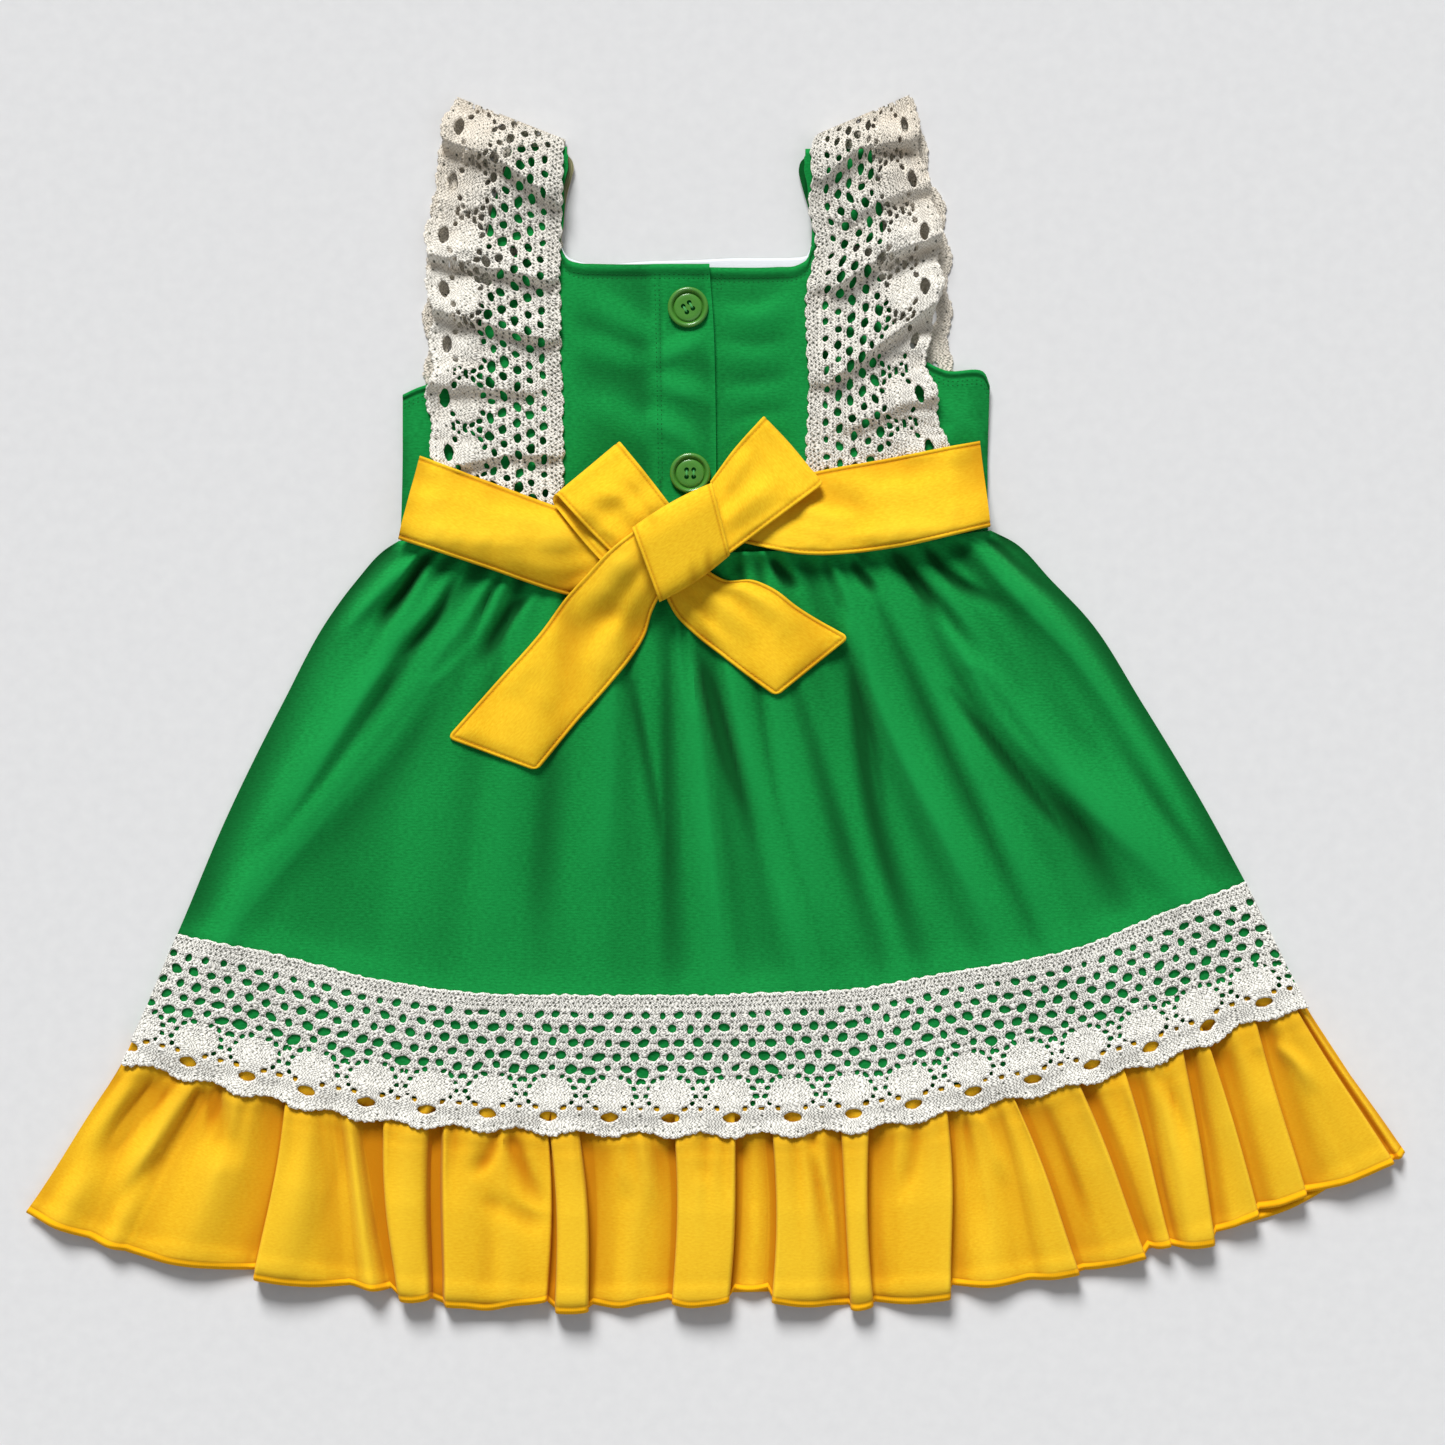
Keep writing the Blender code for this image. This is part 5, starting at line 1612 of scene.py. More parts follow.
@dataclass
class Ruffle:
    """The gathered ruffle at the hem of one side, with an overlocked edge."""

    room: Workroom
    side: Side
    groove: float = 0.4
    lift: float = 1.3
    sharp: float = 4.2
    overlap: float = 1.1
    overlap_reach: float = 7.0
    sway: float = 3.2
    roll: float = 1.8
    step: float = 1.5
    row_step: float = 1.7
    overlock: float = 3.5
    # painted shadow over the ruffle: a share all over, and a further share toward the lace edge
    painted_shadow: tuple[float, float] = (0.13, 0.25)
    front_waves: int = 24
    front_height: float = 1.1
    bead: tuple[float, float, float] = (0.8, 1.7, 1.1)  # height, distance from the hem, width
    opening: Rows = (
        # part of the way down, part of the pleats' height
        (-1, 0.08), (0, 0.45), (0.14, 0.8), (0.45, 1.0), (0.8, 1.0), (1.0, 0.92))

    def columns(self) -> Grid:
        """Columns of the back ruffle: x on the lace edge, hem x and y, and height.

        Returns:
            One row for each column, from left to right.
        """
        columns: list[tuple[float, ...]] = []
        for k, pleat in enumerate(PLEATS):
            seam_l, seam_r, hem_l, hem_r, y_l, y_r, z_l, z_mid, z_r = pleat
            wide = abs(hem_r - hem_l)
            last = k + 1 == len(PLEATS)
            low_l = self.low(PLEATS[k - 1][8] if k else 0.0, z_l)
            low_r = self.low(z_r, 0.0 if last else PLEATS[k + 1][6])
            if k:
                columns += self.gap(PLEATS[k - 1], pleat, low_l)
            near = np.array([0.3, 0.7, 1.2, 1.8, 2.6]) / wide
            parts = np.concatenate([np.linspace(0, 1, max(4, int(wide / self.step))), near, 1 - near])
            over_l, over_r = z_l >= self.sharp and k > 0, z_r >= self.sharp and not last
            for t in np.unique(parts[(parts >= 0) & (parts <= 1)].round(5)):
                height = z_l * (1 - t) * (1 - 2 * t) + 4 * z_mid * t * (1 - t) + z_r * t * (2 * t - 1)
                height *= self.lift
                for low, part, high in ((low_l, t, over_l), (low_r, 1 - t, over_r)):
                    rolled = 0.55 + 0.45 * math.sqrt(1 - (1 - min(part * wide / self.roll, 1.0)) ** 2)
                    height = low + (height - low) * (rolled if high else float(ramp(part, -0.02, 0.5)))
                start = 1 - self.overlap_reach / wide
                reach = over_r * float(ramp(t, start, 1)) - over_l * float(ramp(1 - t, start, 1))
                reach *= self.overlap
                bow = -(0.5 + 0.035 * wide) * math.sin(math.pi * t) ** 0.8
                columns.append((seam_l + t * (seam_r - seam_l) + 0.6 * reach,
                                hem_l + t * (hem_r - hem_l) + reach, y_l + t * (y_r - y_l) + bow, height))
        return np.array(columns)

    def low(self, before: float, after: float) -> float:
        """Height of the cloth between two pleats, from the heights of their edges."""
        return self.groove if max(before, after) >= self.sharp else 0.3 * self.lift * (before + after)

    def gap(self, before: Sequence[float], after: Sequence[float], low: float) -> list[tuple[float, ...]]:
        """Columns between two pleats: the cloth dives under a sharp edge.

        Args:
            before: Row of the pleat on the left.
            after: Row of the pleat on the right.
            low: Height between them.

        Returns:
            The columns.
        """
        parts = {(True, True): (0.25, 0.5, 0.75), (True, False): (-0.1, 0.4), (False, True): (0.6, 1.1),
                 (False, False): (0.5,)}[before[8] >= self.sharp, after[6] >= self.sharp]
        return [(*(before[k] + part * (after[k - 1] - before[k]) for k in (1, 3, 5)), low) for part in parts]

    def plan(self, fractions: Grid, hem: Grid) -> tuple[Grid, Grid]:
        """Spread the ruffle from its seam under the lace to its hem.

        Args:
            fractions: Where the columns start on the lace's lower edge.
            hem: Their ends on the hem.

        Returns:
            The plan, and the part of the way below the lace edge for each row.
        """
        seam = band_edge(SEAM_RISE - GAP)(fractions)
        edge = path(BAND_FOOT, fractions)
        fall = float(norm(hem - edge, axis=1).mean())
        ends = fall - np.array([0.0, 0.5, 1.0, 1.6, 2.2, 2.8, 3.2, 3.8])
        down = np.unique(np.concatenate([np.arange(0, ends[-1], self.row_step), ends])) / fall
        hidden = np.linspace(0, 1, 8)[:-1]
        plan = np.concatenate([between(seam, edge, hidden), between(edge, hem, down)])
        return plan, np.concatenate([hidden - 1, down])

    def crumple(self, plan: Grid, down: Grid, relief: Grid) -> Grid:
        """Crease the back ruffle and let it sway.

        Args:
            plan: Its plan, changed in place.
            down: Part of the way below the lace edge, for each row.
            relief: Height of its pleats.

        Returns:
            The height with its creases.
        """
        cloud = Unevenness(21)
        x, down = plan[:1, :, 0].copy(), down[:, None]
        small = 0.8 * cloud.at(x / 9 + 0 * down, down * 1.1 + 3 + 0 * x)
        finer = 1.4 * cloud.at(x / 4.6 + 0 * down, down * 1.2 + 9 + 0 * x) * (1 - ramp(down, 0.1, 0.75))
        creases = folds_over(plan, RUFFLE_CREASES, onset=0.05, past_end=0.3)
        bend = np.sin(math.pi * np.clip(down, 0, 1))
        plan[:, :, 0] += self.sway * bend * cloud.at(x / 38 + 5 + 0 * down, 0.7 * down + 0 * x)
        plan[:, :, 1] += 0.8 * ramp(down, 0.5, 1.0) * cloud.at(x / 12 + 2, 0 * x)
        return np.maximum(relief + (small + finer + creases) * ramp(relief, 0.3, 2.5), 0.0)

    def make(self) -> None:
        """Make the ruffle."""
        back, side = self.side is Side.BACK, self.side.value
        if back:
            table = self.columns()
            scan = np.linspace(0, 1, 2001)
            fractions = np.interp(table[:, 0], path(BAND_FOOT, scan)[:, 0], scan)
            hem, height = table[:, 1:3], table[:, 3]
        else:
            fractions = np.linspace(0, 1, self.front_waves * 9 + 1)
            hem = path(FRONT_HEM, fractions)
            phase = fractions * self.front_waves + 0.25 * Unevenness(4).at(fractions * 9, fractions * 0)
            height = self.front_height * np.abs(np.sin(math.pi * phase)) ** 0.7
        plan, down = self.plan(fractions, hem)
        relief = np.interp(down, *np.array(self.opening).T)[:, None] * height[None]
        rises = np.hypot(norm(np.diff(hem, axis=0), axis=1), np.diff(height))
        run = np.concatenate([[0.0], np.cumsum(rises)])
        long = norm(plan[-1] - plan[0], axis=1).mean()
        drop = norm(plan - plan[:1], axis=2).mean(axis=1)
        if back:
            relief = self.crumple(plan, down, relief)
        from_hem = (long - drop)[:, None] + 0 * relief
        bead = self.bead[0] * ridge(from_hem, *self.bead[1:]) - 0.5 * (1 - ramp(from_hem, 0, 0.6))
        overlock = 1 - ramp(from_hem, self.overlock - 0.3, self.overlock + 0.3)
        # a darker line along the top of the overlock band, and painted shadow all over the ruffle, deeper
        # under the lace edge
        overlock_line_and_painted_shadow = 0.6 * np.exp(-((from_hem - self.overlock - 0.5) / 0.4) ** 2)
        overlock_line_and_painted_shadow += self.painted_shadow[0] + self.painted_shadow[1] * (1 - ramp(down, 0.0, 0.45))[:, None]
        cloth = Cloth(plan, np.dstack(np.meshgrid(run, -drop)), relief=np.maximum(relief + bead, -0.5),
                      fall=0.5, marks={"overlock": overlock, "crease": overlock_line_and_painted_shadow})
        # painted shade in the hollows of the pleats and painted highlight on their crests
        self.room.finish(cloth.lay(self.room.bed).paint_fold_shade_and_highlight(3.4),
                         (f"ruffle_cloth_{side}", f"hem_ruffle_{side}"), Slot.YELLOW, Held.GATHERED,
                         ["hem_ruffle_front"] if back else [])


@dataclass
class Bodice:
    """The bodice: a lined front and a back that laps over down the middle."""

    room: Workroom
    lining_rise: float = 0.8
    side_bow: float = 5.0
    half_chest: float = 140.0
    rows: int = 70
    step: float = 2.0
    hidden_rows: int = 26
    hidden_step: float = 3.2
    turned: float = 5.0
    row_gap: float = 1.9
    placket: float = 26.0
    bar_drop: float = 11.5
    neck_middle: float = -15.0
    neck_half: float = 70.0
    lap_pull: float = 1.4
    stitching: Stitches = Stitches(size=1.3, radius=0.27, sunk=0.1)

    def cloth(self, columns: Points, folds: Points = (), rise: float = 0.0, tuck: float = 1.0) -> Cloth:
        """Spread a panel from its table of columns.

        Args:
            columns: Rows of x and y on the upper edge, and x at the waist.
            folds: Its folds.
            rise: How far it stands above the table's edge.
            tuck: Depth of the turned edge along its top.

        Returns:
            The cloth.
        """
        table = np.asarray(columns, float)
        step, count = (self.step, self.rows) if len(folds) else (self.hidden_step, self.hidden_rows)
        spread = path(table, np.linspace(0, 1, int(length(table[:, :2]) / step) + 1))
        scan = path(WAIST, np.linspace(0, 1, 801))
        foot = np.column_stack([spread[:, 2], np.interp(spread[:, 2], *scan.T) + GAP])
        centre = ramp(self.neck_half - np.abs(spread[:, 0] - self.neck_middle), 0, 8)
        head = spread[:, :2] + rise * centre[:, None] * np.array([0.0, 1.0])
        tall = float((head - foot)[:, 1].mean())
        parts = 1 - dense_ends(tall, tall / count, both=False)[::-1]
        plan = between(foot, head, parts)
        side = np.clip(np.abs(plan[0, :, 0] - plan[0, :, 0].mean()) / self.half_chest, 0, 1) ** 4
        bow = np.sin(math.pi * parts)[:, None]
        plan[:, :, 0] -= np.sign(plan[:, :, 0]) * self.side_bow * side[None] * bow
        relief = np.zeros(plan.shape[:2])
        if len(folds):
            relief = folds_over(plan, folds, onset=0.4) + 0.25 * (1 + Unevenness(31).over(plan, 22))
        below = (1 - parts)[:, None] * tall
        relief += tuck * (0.5 * ridge(below, 2.2, 1.4) - 0.4 * ridge(below, self.turned, 1.2))
        relief -= 0.45 * (1 - ramp(below, 0, 0.8))
        # painted shade: a darker band inside the turned edge under the neckline, and painted shade in the
        # groove of its stitches
        band = 0.35 * ramp(below, 0.6, 2.4) * (1 - ramp(below, self.turned - 0.4, self.turned + 1.6))
        return Cloth(plan, plan.copy(), relief=relief, fall=0.35, passes=10,
                     marks={"crease": tuck * (band + 0.6 * painted_seam_shade(below, self.turned))})

    def make_front(self) -> None:
        """Make the front and its white lining."""
        columns = BODICE_LEFT_SIDE[:-1] + FRONT_NECK + BODICE_RIGHT_SIDE[1:]
        for node, slot, rise in (("front_bodice", Slot.GREEN, 0.0),
                                 ("front_bodice_lining", Slot.LINING, self.lining_rise)):
            cloth = self.cloth(columns, rise=rise, tuck=0.0).lay(self.room.bed)
            self.room.finish(cloth, (f"{node}_cloth", node), slot, Held.LAID)

    def make_back(self) -> None:
        """Make both halves of the back, with their sewn edges."""
        right = self.cloth(BACK_NECK_RIGHT + BODICE_RIGHT_SIDE[1:], BODICE_FOLDS).lay(self.room.bed)
        left = self.cloth(BODICE_LEFT_SIDE[:-1] + BACK_NECK_LEFT, BODICE_FOLDS)
        lap = norm(left.plan - left.plan[:, -1:], axis=2)
        top = norm(left.plan - left.plan[-1:], axis=2)
        left.plan[..., 0] -= self.lap_pull * ridge(top, 0.0, 22) * (1 - ramp(lap, 0, 14))
        left.relief = left.relief + 0.8 * ridge(lap, 0.0, 2.5) - 0.4 * ridge(lap, self.placket, 1.2)
        # painted shade in the groove under the placket stitches
        left.marks["crease"] = left.marks["crease"] + 0.6 * painted_seam_shade(lap, self.placket)
        left.lay(self.room.bed)
        for node, cloth in (("back_bodice_right", right), ("back_bodice_left", left)):
            # painted shade in the hollows and painted highlight on the crests of the back's pulls
            rows, columns = (np.arange(count) for count in cloth.paint_fold_shade_and_highlight(2.2).top.shape[:2])
            below = norm(cloth.plan - cloth.plan[-1:], axis=2)
            lines = []
            for away in (0.0, self.row_gap):
                row = [np.interp(self.turned + away, down[::-1], rows[::-1]) for down in below.T]
                lines.append(cloth.line(row, columns))
                if cloth is left:
                    place = [np.interp(self.placket + away, across[::-1], columns[::-1])
                             for across in lap[:-10]]
                    lines.append(cloth.line(rows[:-10], place))
                else:
                    place = float(np.interp(0.8 + away, cloth.plan[-1, :, 0], columns))
                    bar = np.linspace(np.interp(-self.bar_drop, -below[:, 0], rows), len(rows) - 1.0, 20)
                    lines.append(cloth.line(bar, place))
            self.room.finish(cloth, (f"{node}_cloth", node), Slot.GREEN, Held.LAID, ["front_bodice_lining"],
                             lines=lines, sewn=self.stitching, thread=node)


@dataclass
class Strap:
    """A wide strap: one band up from the bodice, over the rolled shoulder fold and back down."""

    room: Workroom
    side: Side
    stations: Points
    piped: bool = False
    radius: float = 3.6
    thickness: float = 1.0
    across: int = 22
    along: int = 34
    drop: float = 0.9
    drawn_back: float = 2.4

    def make(self) -> None:
        """Make the strap."""
        rows = path(self.stations, np.linspace(0, 1, self.along))
        places = np.linspace(0, 1, self.across)
        runs = between(rows[:, [1, 0]], rows[:, [2, 0]], places).transpose(1, 0, 2)
        low = float(self.room.bed.below(runs[-1:]).max()) + GAP
        seam_top = float(self.room.bed.below(runs[:1]).max())
        high = low + 2 * self.radius
        outer = [raised(row, low) for row in runs]
        inner = [raised(row, low + self.thickness) for row in runs]
        for angle in np.radians(np.linspace(-FOLD_ARC, FOLD_ARC, 11)):
            for side, radius in ((outer, self.radius), (inner, self.radius - self.thickness)):
                reach = runs[-1] + np.array([0.0, radius * math.cos(angle)])
                side.append(raised(reach, low + self.radius + radius * math.sin(angle)))
        edgeward = (1 - places)[:, None] ** 3 * np.sign(runs[0, -1] - runs[0, 0])
        for part, row in zip(np.linspace(0, 1, len(runs)), runs[::-1]):
            top = high + (seam_top - high) * float(ramp(part, 0.0, self.drop))
            opened = float(ramp(part, 0.0, 0.12) * (1 - ramp(part, 0.3, 0.62)))
            row = row + edgeward * np.array([self.drawn_back * opened, 0.0])
            outer.append(raised(row, top))
            inner.append(raised(row, top - self.thickness))
        piping, inside = np.zeros((2, len(outer), self.across))
        piping[:self.along + 4, :1 + int(self.piped)] = float(self.piped)
        # painted shade on the inner face, inside the rolled shoulder fold
        inside[:len(outer) - self.along + 2] = 0.9
        across = np.linspace(0, norm(outer[0][-1] - outer[0][0]), self.across)
        cloth = Cloth.turned(self.room.bed, (outer, inner), across, self.thickness,
                             {"overlock": piping, "crease": np.stack([0 * inside, inside])})
        names = f"strap_cloth_{self.side.value}", f"strap_{self.side.value}"
        self.room.finish(cloth, names, Slot.GREEN, Held.FOLDED, ["front_bodice"])


def painted_seam_shade(away: Grid, inset: float = INSET) -> Grid:
    """Paint shade into the groove under a row of stitches."""
    return 0.6 * ridge(away, inset, 0.45)


def sewn_edge(away: Grid) -> Grid:
    """Shape of a turned and topstitched edge: rounded off, with a groove under the stitches."""
    return -0.75 * (1 - np.sqrt(1 - (1 - np.clip(away / 1.1, 0, 1)) ** 2)) - 0.5 * ridge(away, INSET, 0.55)


def seam_places(across: Grid, wide: float) -> Grid:
    """Rows of a ribbon's grid, with fractions, under its two lines of stitches."""
    return np.interp([INSET / wide, 1 - INSET / wide], across, np.arange(len(across)))


@dataclass
class Ribbon:
    """A double-layer ribbon between two edges, topstitched all round."""

    room: Workroom
    name: str
    node: str
    edges: tuple[Points, Points]
    sewn_end: bool = False
    thickness: float = 1.7
    step: float = 1.8
    corner: float = 3.6

    def round_corners(self, plan: Grid, across: Grid, left: Grid) -> Grid:
        """Draw the corners of the free end in to a soft curve.

        Args:
            plan: Grid of x and y, with a column for each place along the ribbon.
            across: Part of the way across for each row.
            left: Distance from the free end for each column.

        Returns:
            The plan with round corners.
        """
        side = plan[-1] - plan[0]
        wide = norm(side, axis=1)
        p = np.clip(1 - mirrored(across)[:, None] * wide[None] / self.corner, 0, 1)
        q = np.clip(1 - left / self.corner, 0, 1)[None]
        inward = self.corner * p * (1 - np.sqrt(1 - q * q / 2)) * np.sign(0.5 - across)[:, None]
        back = self.corner * q * (1 - np.sqrt(1 - p * p / 2))
        ahead = np.gradient(plan, axis=1)
        ahead /= norm(ahead, axis=2, keepdims=True)
        return plan + inward[..., None] * (side / wide[:, None])[None] - back[..., None] * ahead

    def make(self) -> None:
        """Make the ribbon and its stitching."""
        run = (length(self.edges[0]) + length(self.edges[1])) / 2
        along = dense_ends(run, self.step) if self.sewn_end else np.linspace(0, 1, int(run / self.step) + 1)
        first, second = (path(edge, along) for edge in self.edges)
        widths = norm(second - first, axis=1)
        wide = float(widths.mean())
        across = dense_ends(wide, self.step)
        plan = between(first, second, across)
        ends = along * run
        away = mirrored(across)[:, None] * widths[None]
        last = len(along) - 1.0
        if self.sewn_end:
            away = np.minimum(away, (run - ends)[None])
            plan = self.round_corners(plan, across, run - ends)
            last = float(np.interp(run - INSET, ends, np.arange(len(along))))
        relief = folds_over(plan, RIBBON_FOLDS, onset=0.25, past_end=0.3)
        cloud = Unevenness(len(self.name) + 50)
        crumple = 0.7 * (1 + cloud.over(plan, 19)) + 0.3 * cloud.over(plan, 8)
        relief = (relief + crumple) * ramp(away, 0.3, 8.0) + sewn_edge(away)
        # painted shade in the grooves under the stitches and in the hollows of the folds, painted highlight
        # on their crests
        cloth = Cloth(plan, np.dstack(np.meshgrid(ends, across * wide)), self.thickness, relief, fall=0.35,
                      passes=10, marks={"crease": painted_seam_shade(away)}).lay(self.room.bed).paint_fold_shade_and_highlight(5.0)
        places = seam_places(across, wide)
        lines = [cloth.line(place, np.linspace(0, last, len(along))) for place in places]
        if self.sewn_end:
            lines.append(cloth.line(np.linspace(*places, 24), last))
        self.room.finish(cloth, (self.name, self.node), Slot.YELLOW, Held.LAID, ["skirt_back"], lines=lines)


@dataclass
class Loop:
    """A bow loop: a lower run out from the knot, a soft fold and an upper run back."""

    room: Workroom
    side: Side
    edges: tuple[Points, Points, Points]
    thickness: float = 1.6
    puff: float = 2.6
    step: float = 1.7

    def make(self) -> None:
        """Make the loop and the stitching of its upper run."""
        bed, (top_edge, foot_edge, under_edge) = self.room.bed, self.edges
        run = (length(top_edge) + length(foot_edge)) / 2
        along = np.linspace(0, 1, int(run / self.step) + 1)
        wide = float(norm(np.subtract(top_edge[1], foot_edge[1])))
        across = dense_ends(wide, self.step)
        lower, upper = (between(path(top_edge, along), path(edge, along), across).transpose(1, 0, 2)
                        for edge in (under_edge, foot_edge))
        floor = np.maximum(bed.below(lower), bed.below(upper)) + GAP
        floor = soften(ease(lower, floor, 0.35), floor, 8)
        opened = GAP + (self.puff - GAP) * ramp(along, 0.0, 0.9)[:, None]
        away = mirrored(across)[None] * wide
        relief = folds_over(upper, RIBBON_FOLDS, onset=0.25, past_end=0.3) * ramp(away, 0.5, 7.0)
        ceiling = (floor.max(axis=1, keepdims=True) + floor) / 2 + self.thickness + opened
        skin = self.thickness + sewn_edge(away) * 0.8
        outer = list(raised(lower, floor))
        inner = list(raised(lower, floor + self.thickness))
        heading = upper[-1] - upper[-2]
        heading /= norm(heading, axis=1, keepdims=True)
        middle = (floor[-1] + ceiling[-1] + skin[0]) / 2
        for angle in np.radians(np.linspace(-FOLD_ARC, FOLD_ARC, 9)):
            corner = lower[-1] + (upper[-1] - lower[-1]) * (0.5 + math.sin(angle) / 2)
            for side, radius in ((outer, middle - floor[-1]), (inner, middle - floor[-1] - self.thickness)):
                arc = corner + heading * (radius * math.cos(angle))[:, None]
                side.append(raised(arc, middle + radius * math.sin(angle)))
        lift = relief * ramp(1 - along, 0.0, 0.12)[:, None]
        outer += list(raised(upper, ceiling + skin + lift)[::-1])
        inner += list(raised(upper, ceiling + lift)[::-1])
        # painted shade in the grooves under the stitches
        cloth = Cloth.turned(bed, (outer, inner), across * wide, self.thickness, {"crease": painted_seam_shade(away)})
        rows = np.arange(len(outer) - len(along), len(outer))
        lines = [cloth.line(rows, place) for place in seam_places(across, wide)]
        names = f"bow_loop_ribbon_{self.side.value}", f"bow_loop_{self.side.value}"
        self.room.finish(cloth, names, Slot.YELLOW, Held.FOLDED, [f"sash_{self.side.value}"], lines=lines)


@dataclass
class Knot:
    """The bow's knot: one turn of the ribbon, rolled under at both ends."""

    room: Workroom
    thickness: float = 1.6
    height: float = 5.0
    cells: int = 46
    bulge: float = 2.6
    bulge_share: float = 0.6
    rolled: float = 7.5
    creases: Rows = (
        # depth, place across, lean, place down, width
        (0.5, 0.72, 0.25, 0.9, 0.05), (0.45, 0.5, 0.2, 0.9, 0.06), (0.35, 0.25, -0.3, 0.1, 0.07))

    def make(self) -> None:
        """Make the knot and the stitching along its two sides."""
        corners = np.array(KNOT, float)
        wide, tall = float(norm(corners[1] - corners[0])), float(norm(corners[3] - corners[0]))
        across, down = dense_ends(wide, wide / self.cells), dense_ends(tall, tall / self.cells)
        plan = between(between(corners[:1], corners[1:2], across)[:, 0],
                       between(corners[3:], corners[2:3], across)[:, 0], down)
        t, s = np.meshgrid(down, across, indexing="ij")
        away = mirrored(s) * wide
        arch = np.sin(math.pi * np.clip(s, 0.0005, 0.9995))
        outward = np.where(t < 0.5, 1.0, -1.0) * (1 - ramp(mirrored(t), 0, 0.2))
        axis = corners[0] - corners[3] + corners[1] - corners[2]
        bulge = (self.bulge * arch ** 0.8)[..., None]
        plan = plan + axis / norm(axis) * outward[..., None] * bulge * self.bulge_share
        roll = np.sqrt(np.clip(1 - (1 - np.clip(mirrored(t) * tall / self.rolled, 0, 1)) ** 2, 0, 1))
        crown = 0.78 + 0.22 * arch ** 0.7
        shares = ramp(t, 0.68, 0.95), ramp(t, 0.75, 0.97), ramp(0.25 - t, 0.0, 0.2)
        creases = sum(depth * np.exp(-(((s - place) + lean * (t - start)) / width) ** 2) * share
                      for (depth, place, lean, start, width), share in zip(self.creases, shares))
        relief = self.height * roll * crown - creases * 1.3 + sewn_edge(away)
        # painted shade in the knot's creases and in the grooves under its stitches
        cloth = Cloth(plan, np.dstack([s * wide, t * tall]), self.thickness, relief, fall=0.1, passes=16,
                      marks={"crease": painted_seam_shade(away) + creases}).lay(self.room.bed)
        rows = np.linspace(0, len(down) - 1, 60)
        lines = [cloth.line(rows, place) for place in seam_places(across, wide)]
        self.room.finish(cloth, ("bow_knot_ribbon", "bow_knot"), Slot.YELLOW, Held.FOLDED,
                         ["bow_loop_left", "bow_loop_right"], lines=lines, thread="bow_knot")


@dataclass
class Button:
    """A four-hole button with a rounded rim, a dished middle and two strands of thread."""

    room: Workroom
    node: str
    x: float
    y: float
    turn: float
    sides: int = 96
    hole_radius: float = 1.15
    hole_offset: float = 2.4
    hole_sides: int = 20
    top: float = 1.5
    strand_gap: float = 0.44
    strands: Stitches = Stitches(pitch=4.0, size=3.3, radius=0.2, sunk=-0.05, sides=8)
    profile: Rows = (
        # radius, height
        (0.02, 1.5), (2.2, 1.5), (4.4, 1.52), (6.2, 1.6), (6.6, 1.35), (7.0, 0.7), (7.3, 1.2), (7.55, 1.9),
        (7.9, 2.35), (8.3, 2.62), (8.75, 2.7), (9.2, 2.58), (9.55, 2.3), (9.76, 1.9), (9.8, 1.5), (9.55, 0.9),
        (9.0, 0.35), (8.0, 0.05), (4.0, 0.0), (0.02, 0.0))

    def make(self) -> None:
        """Turn the button, drill its holes and sew it on."""
        spot = np.array([self.x, self.y])
        base = float(self.room.bed.below(spot[None, None]).max()) + GAP
        turns = np.linspace(0, 2 * math.pi, self.sides, endpoint=False)
        points = np.array([(self.x + r * math.cos(a), self.y + r * math.sin(a), base + z)
                           for r, z in self.profile for a in turns])
        quads = ring_faces(len(self.profile), self.sides)[:, [0, 3, 2, 1]]
        item = make_mesh(f"{self.node}_turned", points, quads, crease=40.0)
        holes = [spot + self.hole_offset * np.array([math.cos(a), math.sin(a)])
                 for a in np.radians(self.turn + 45 + 90 * np.arange(4))]
        for hole in holes:
            self.drill(item, hole, base)
        item.data.shade_smooth()
        item.data.set_sharp_from_angle(angle=math.radians(40))
        self.room.dress(item, Slot.BUTTON, self.node)
        lines = []
        for start, end in ((holes[0], holes[3]), (holes[1], holes[2])):
            for shift in (-self.strand_gap / 2, self.strand_gap / 2):
                offset = np.array([-(end - start)[1], (end - start)[0]]) / norm(end - start) * shift
                lines.append(raised(np.array([start + offset, end + offset]), base + self.top))
        self.room.dress(self.strands.mesh(f"{self.node}_thread", lines), Slot.BUTTON, thread=True)

    def drill(self, item: Piece, hole: Grid, base: float) -> None:
        """Cut a thread hole.

        Args:
            item: The button.
            hole: Middle of the hole.
            base: Height of the button's underside.
        """
        count = self.hole_sides
        turns = np.linspace(0, 2 * math.pi, count, endpoint=False)
        ring = hole + self.hole_radius * np.column_stack([np.cos(turns), np.sin(turns)])
        places = in_metres(np.vstack([raised(ring, base + z) for z in (-1.0, 4.0)]))
        faces = [list(range(count - 1, -1, -1)), list(range(count, 2 * count))]
        faces += [[k, (k + 1) % count, count + (k + 1) % count, count + k] for k in range(count)]
        mesh = bpy.data.meshes.new("drill")
        mesh.from_pydata(places.tolist(), [], faces)
        cutter = show("drill", mesh)
        cut = item.modifiers.new("thread hole", "BOOLEAN")
        cut.operation, cut.object, cut.solver = "DIFFERENCE", cutter, "EXACT"
        shape = bpy.data.meshes.new_from_object(item.evaluated_get(bpy.context.evaluated_depsgraph_get()))
        item.modifiers.remove(cut)
        item.data = shape
        bpy.data.objects.remove(cutter)


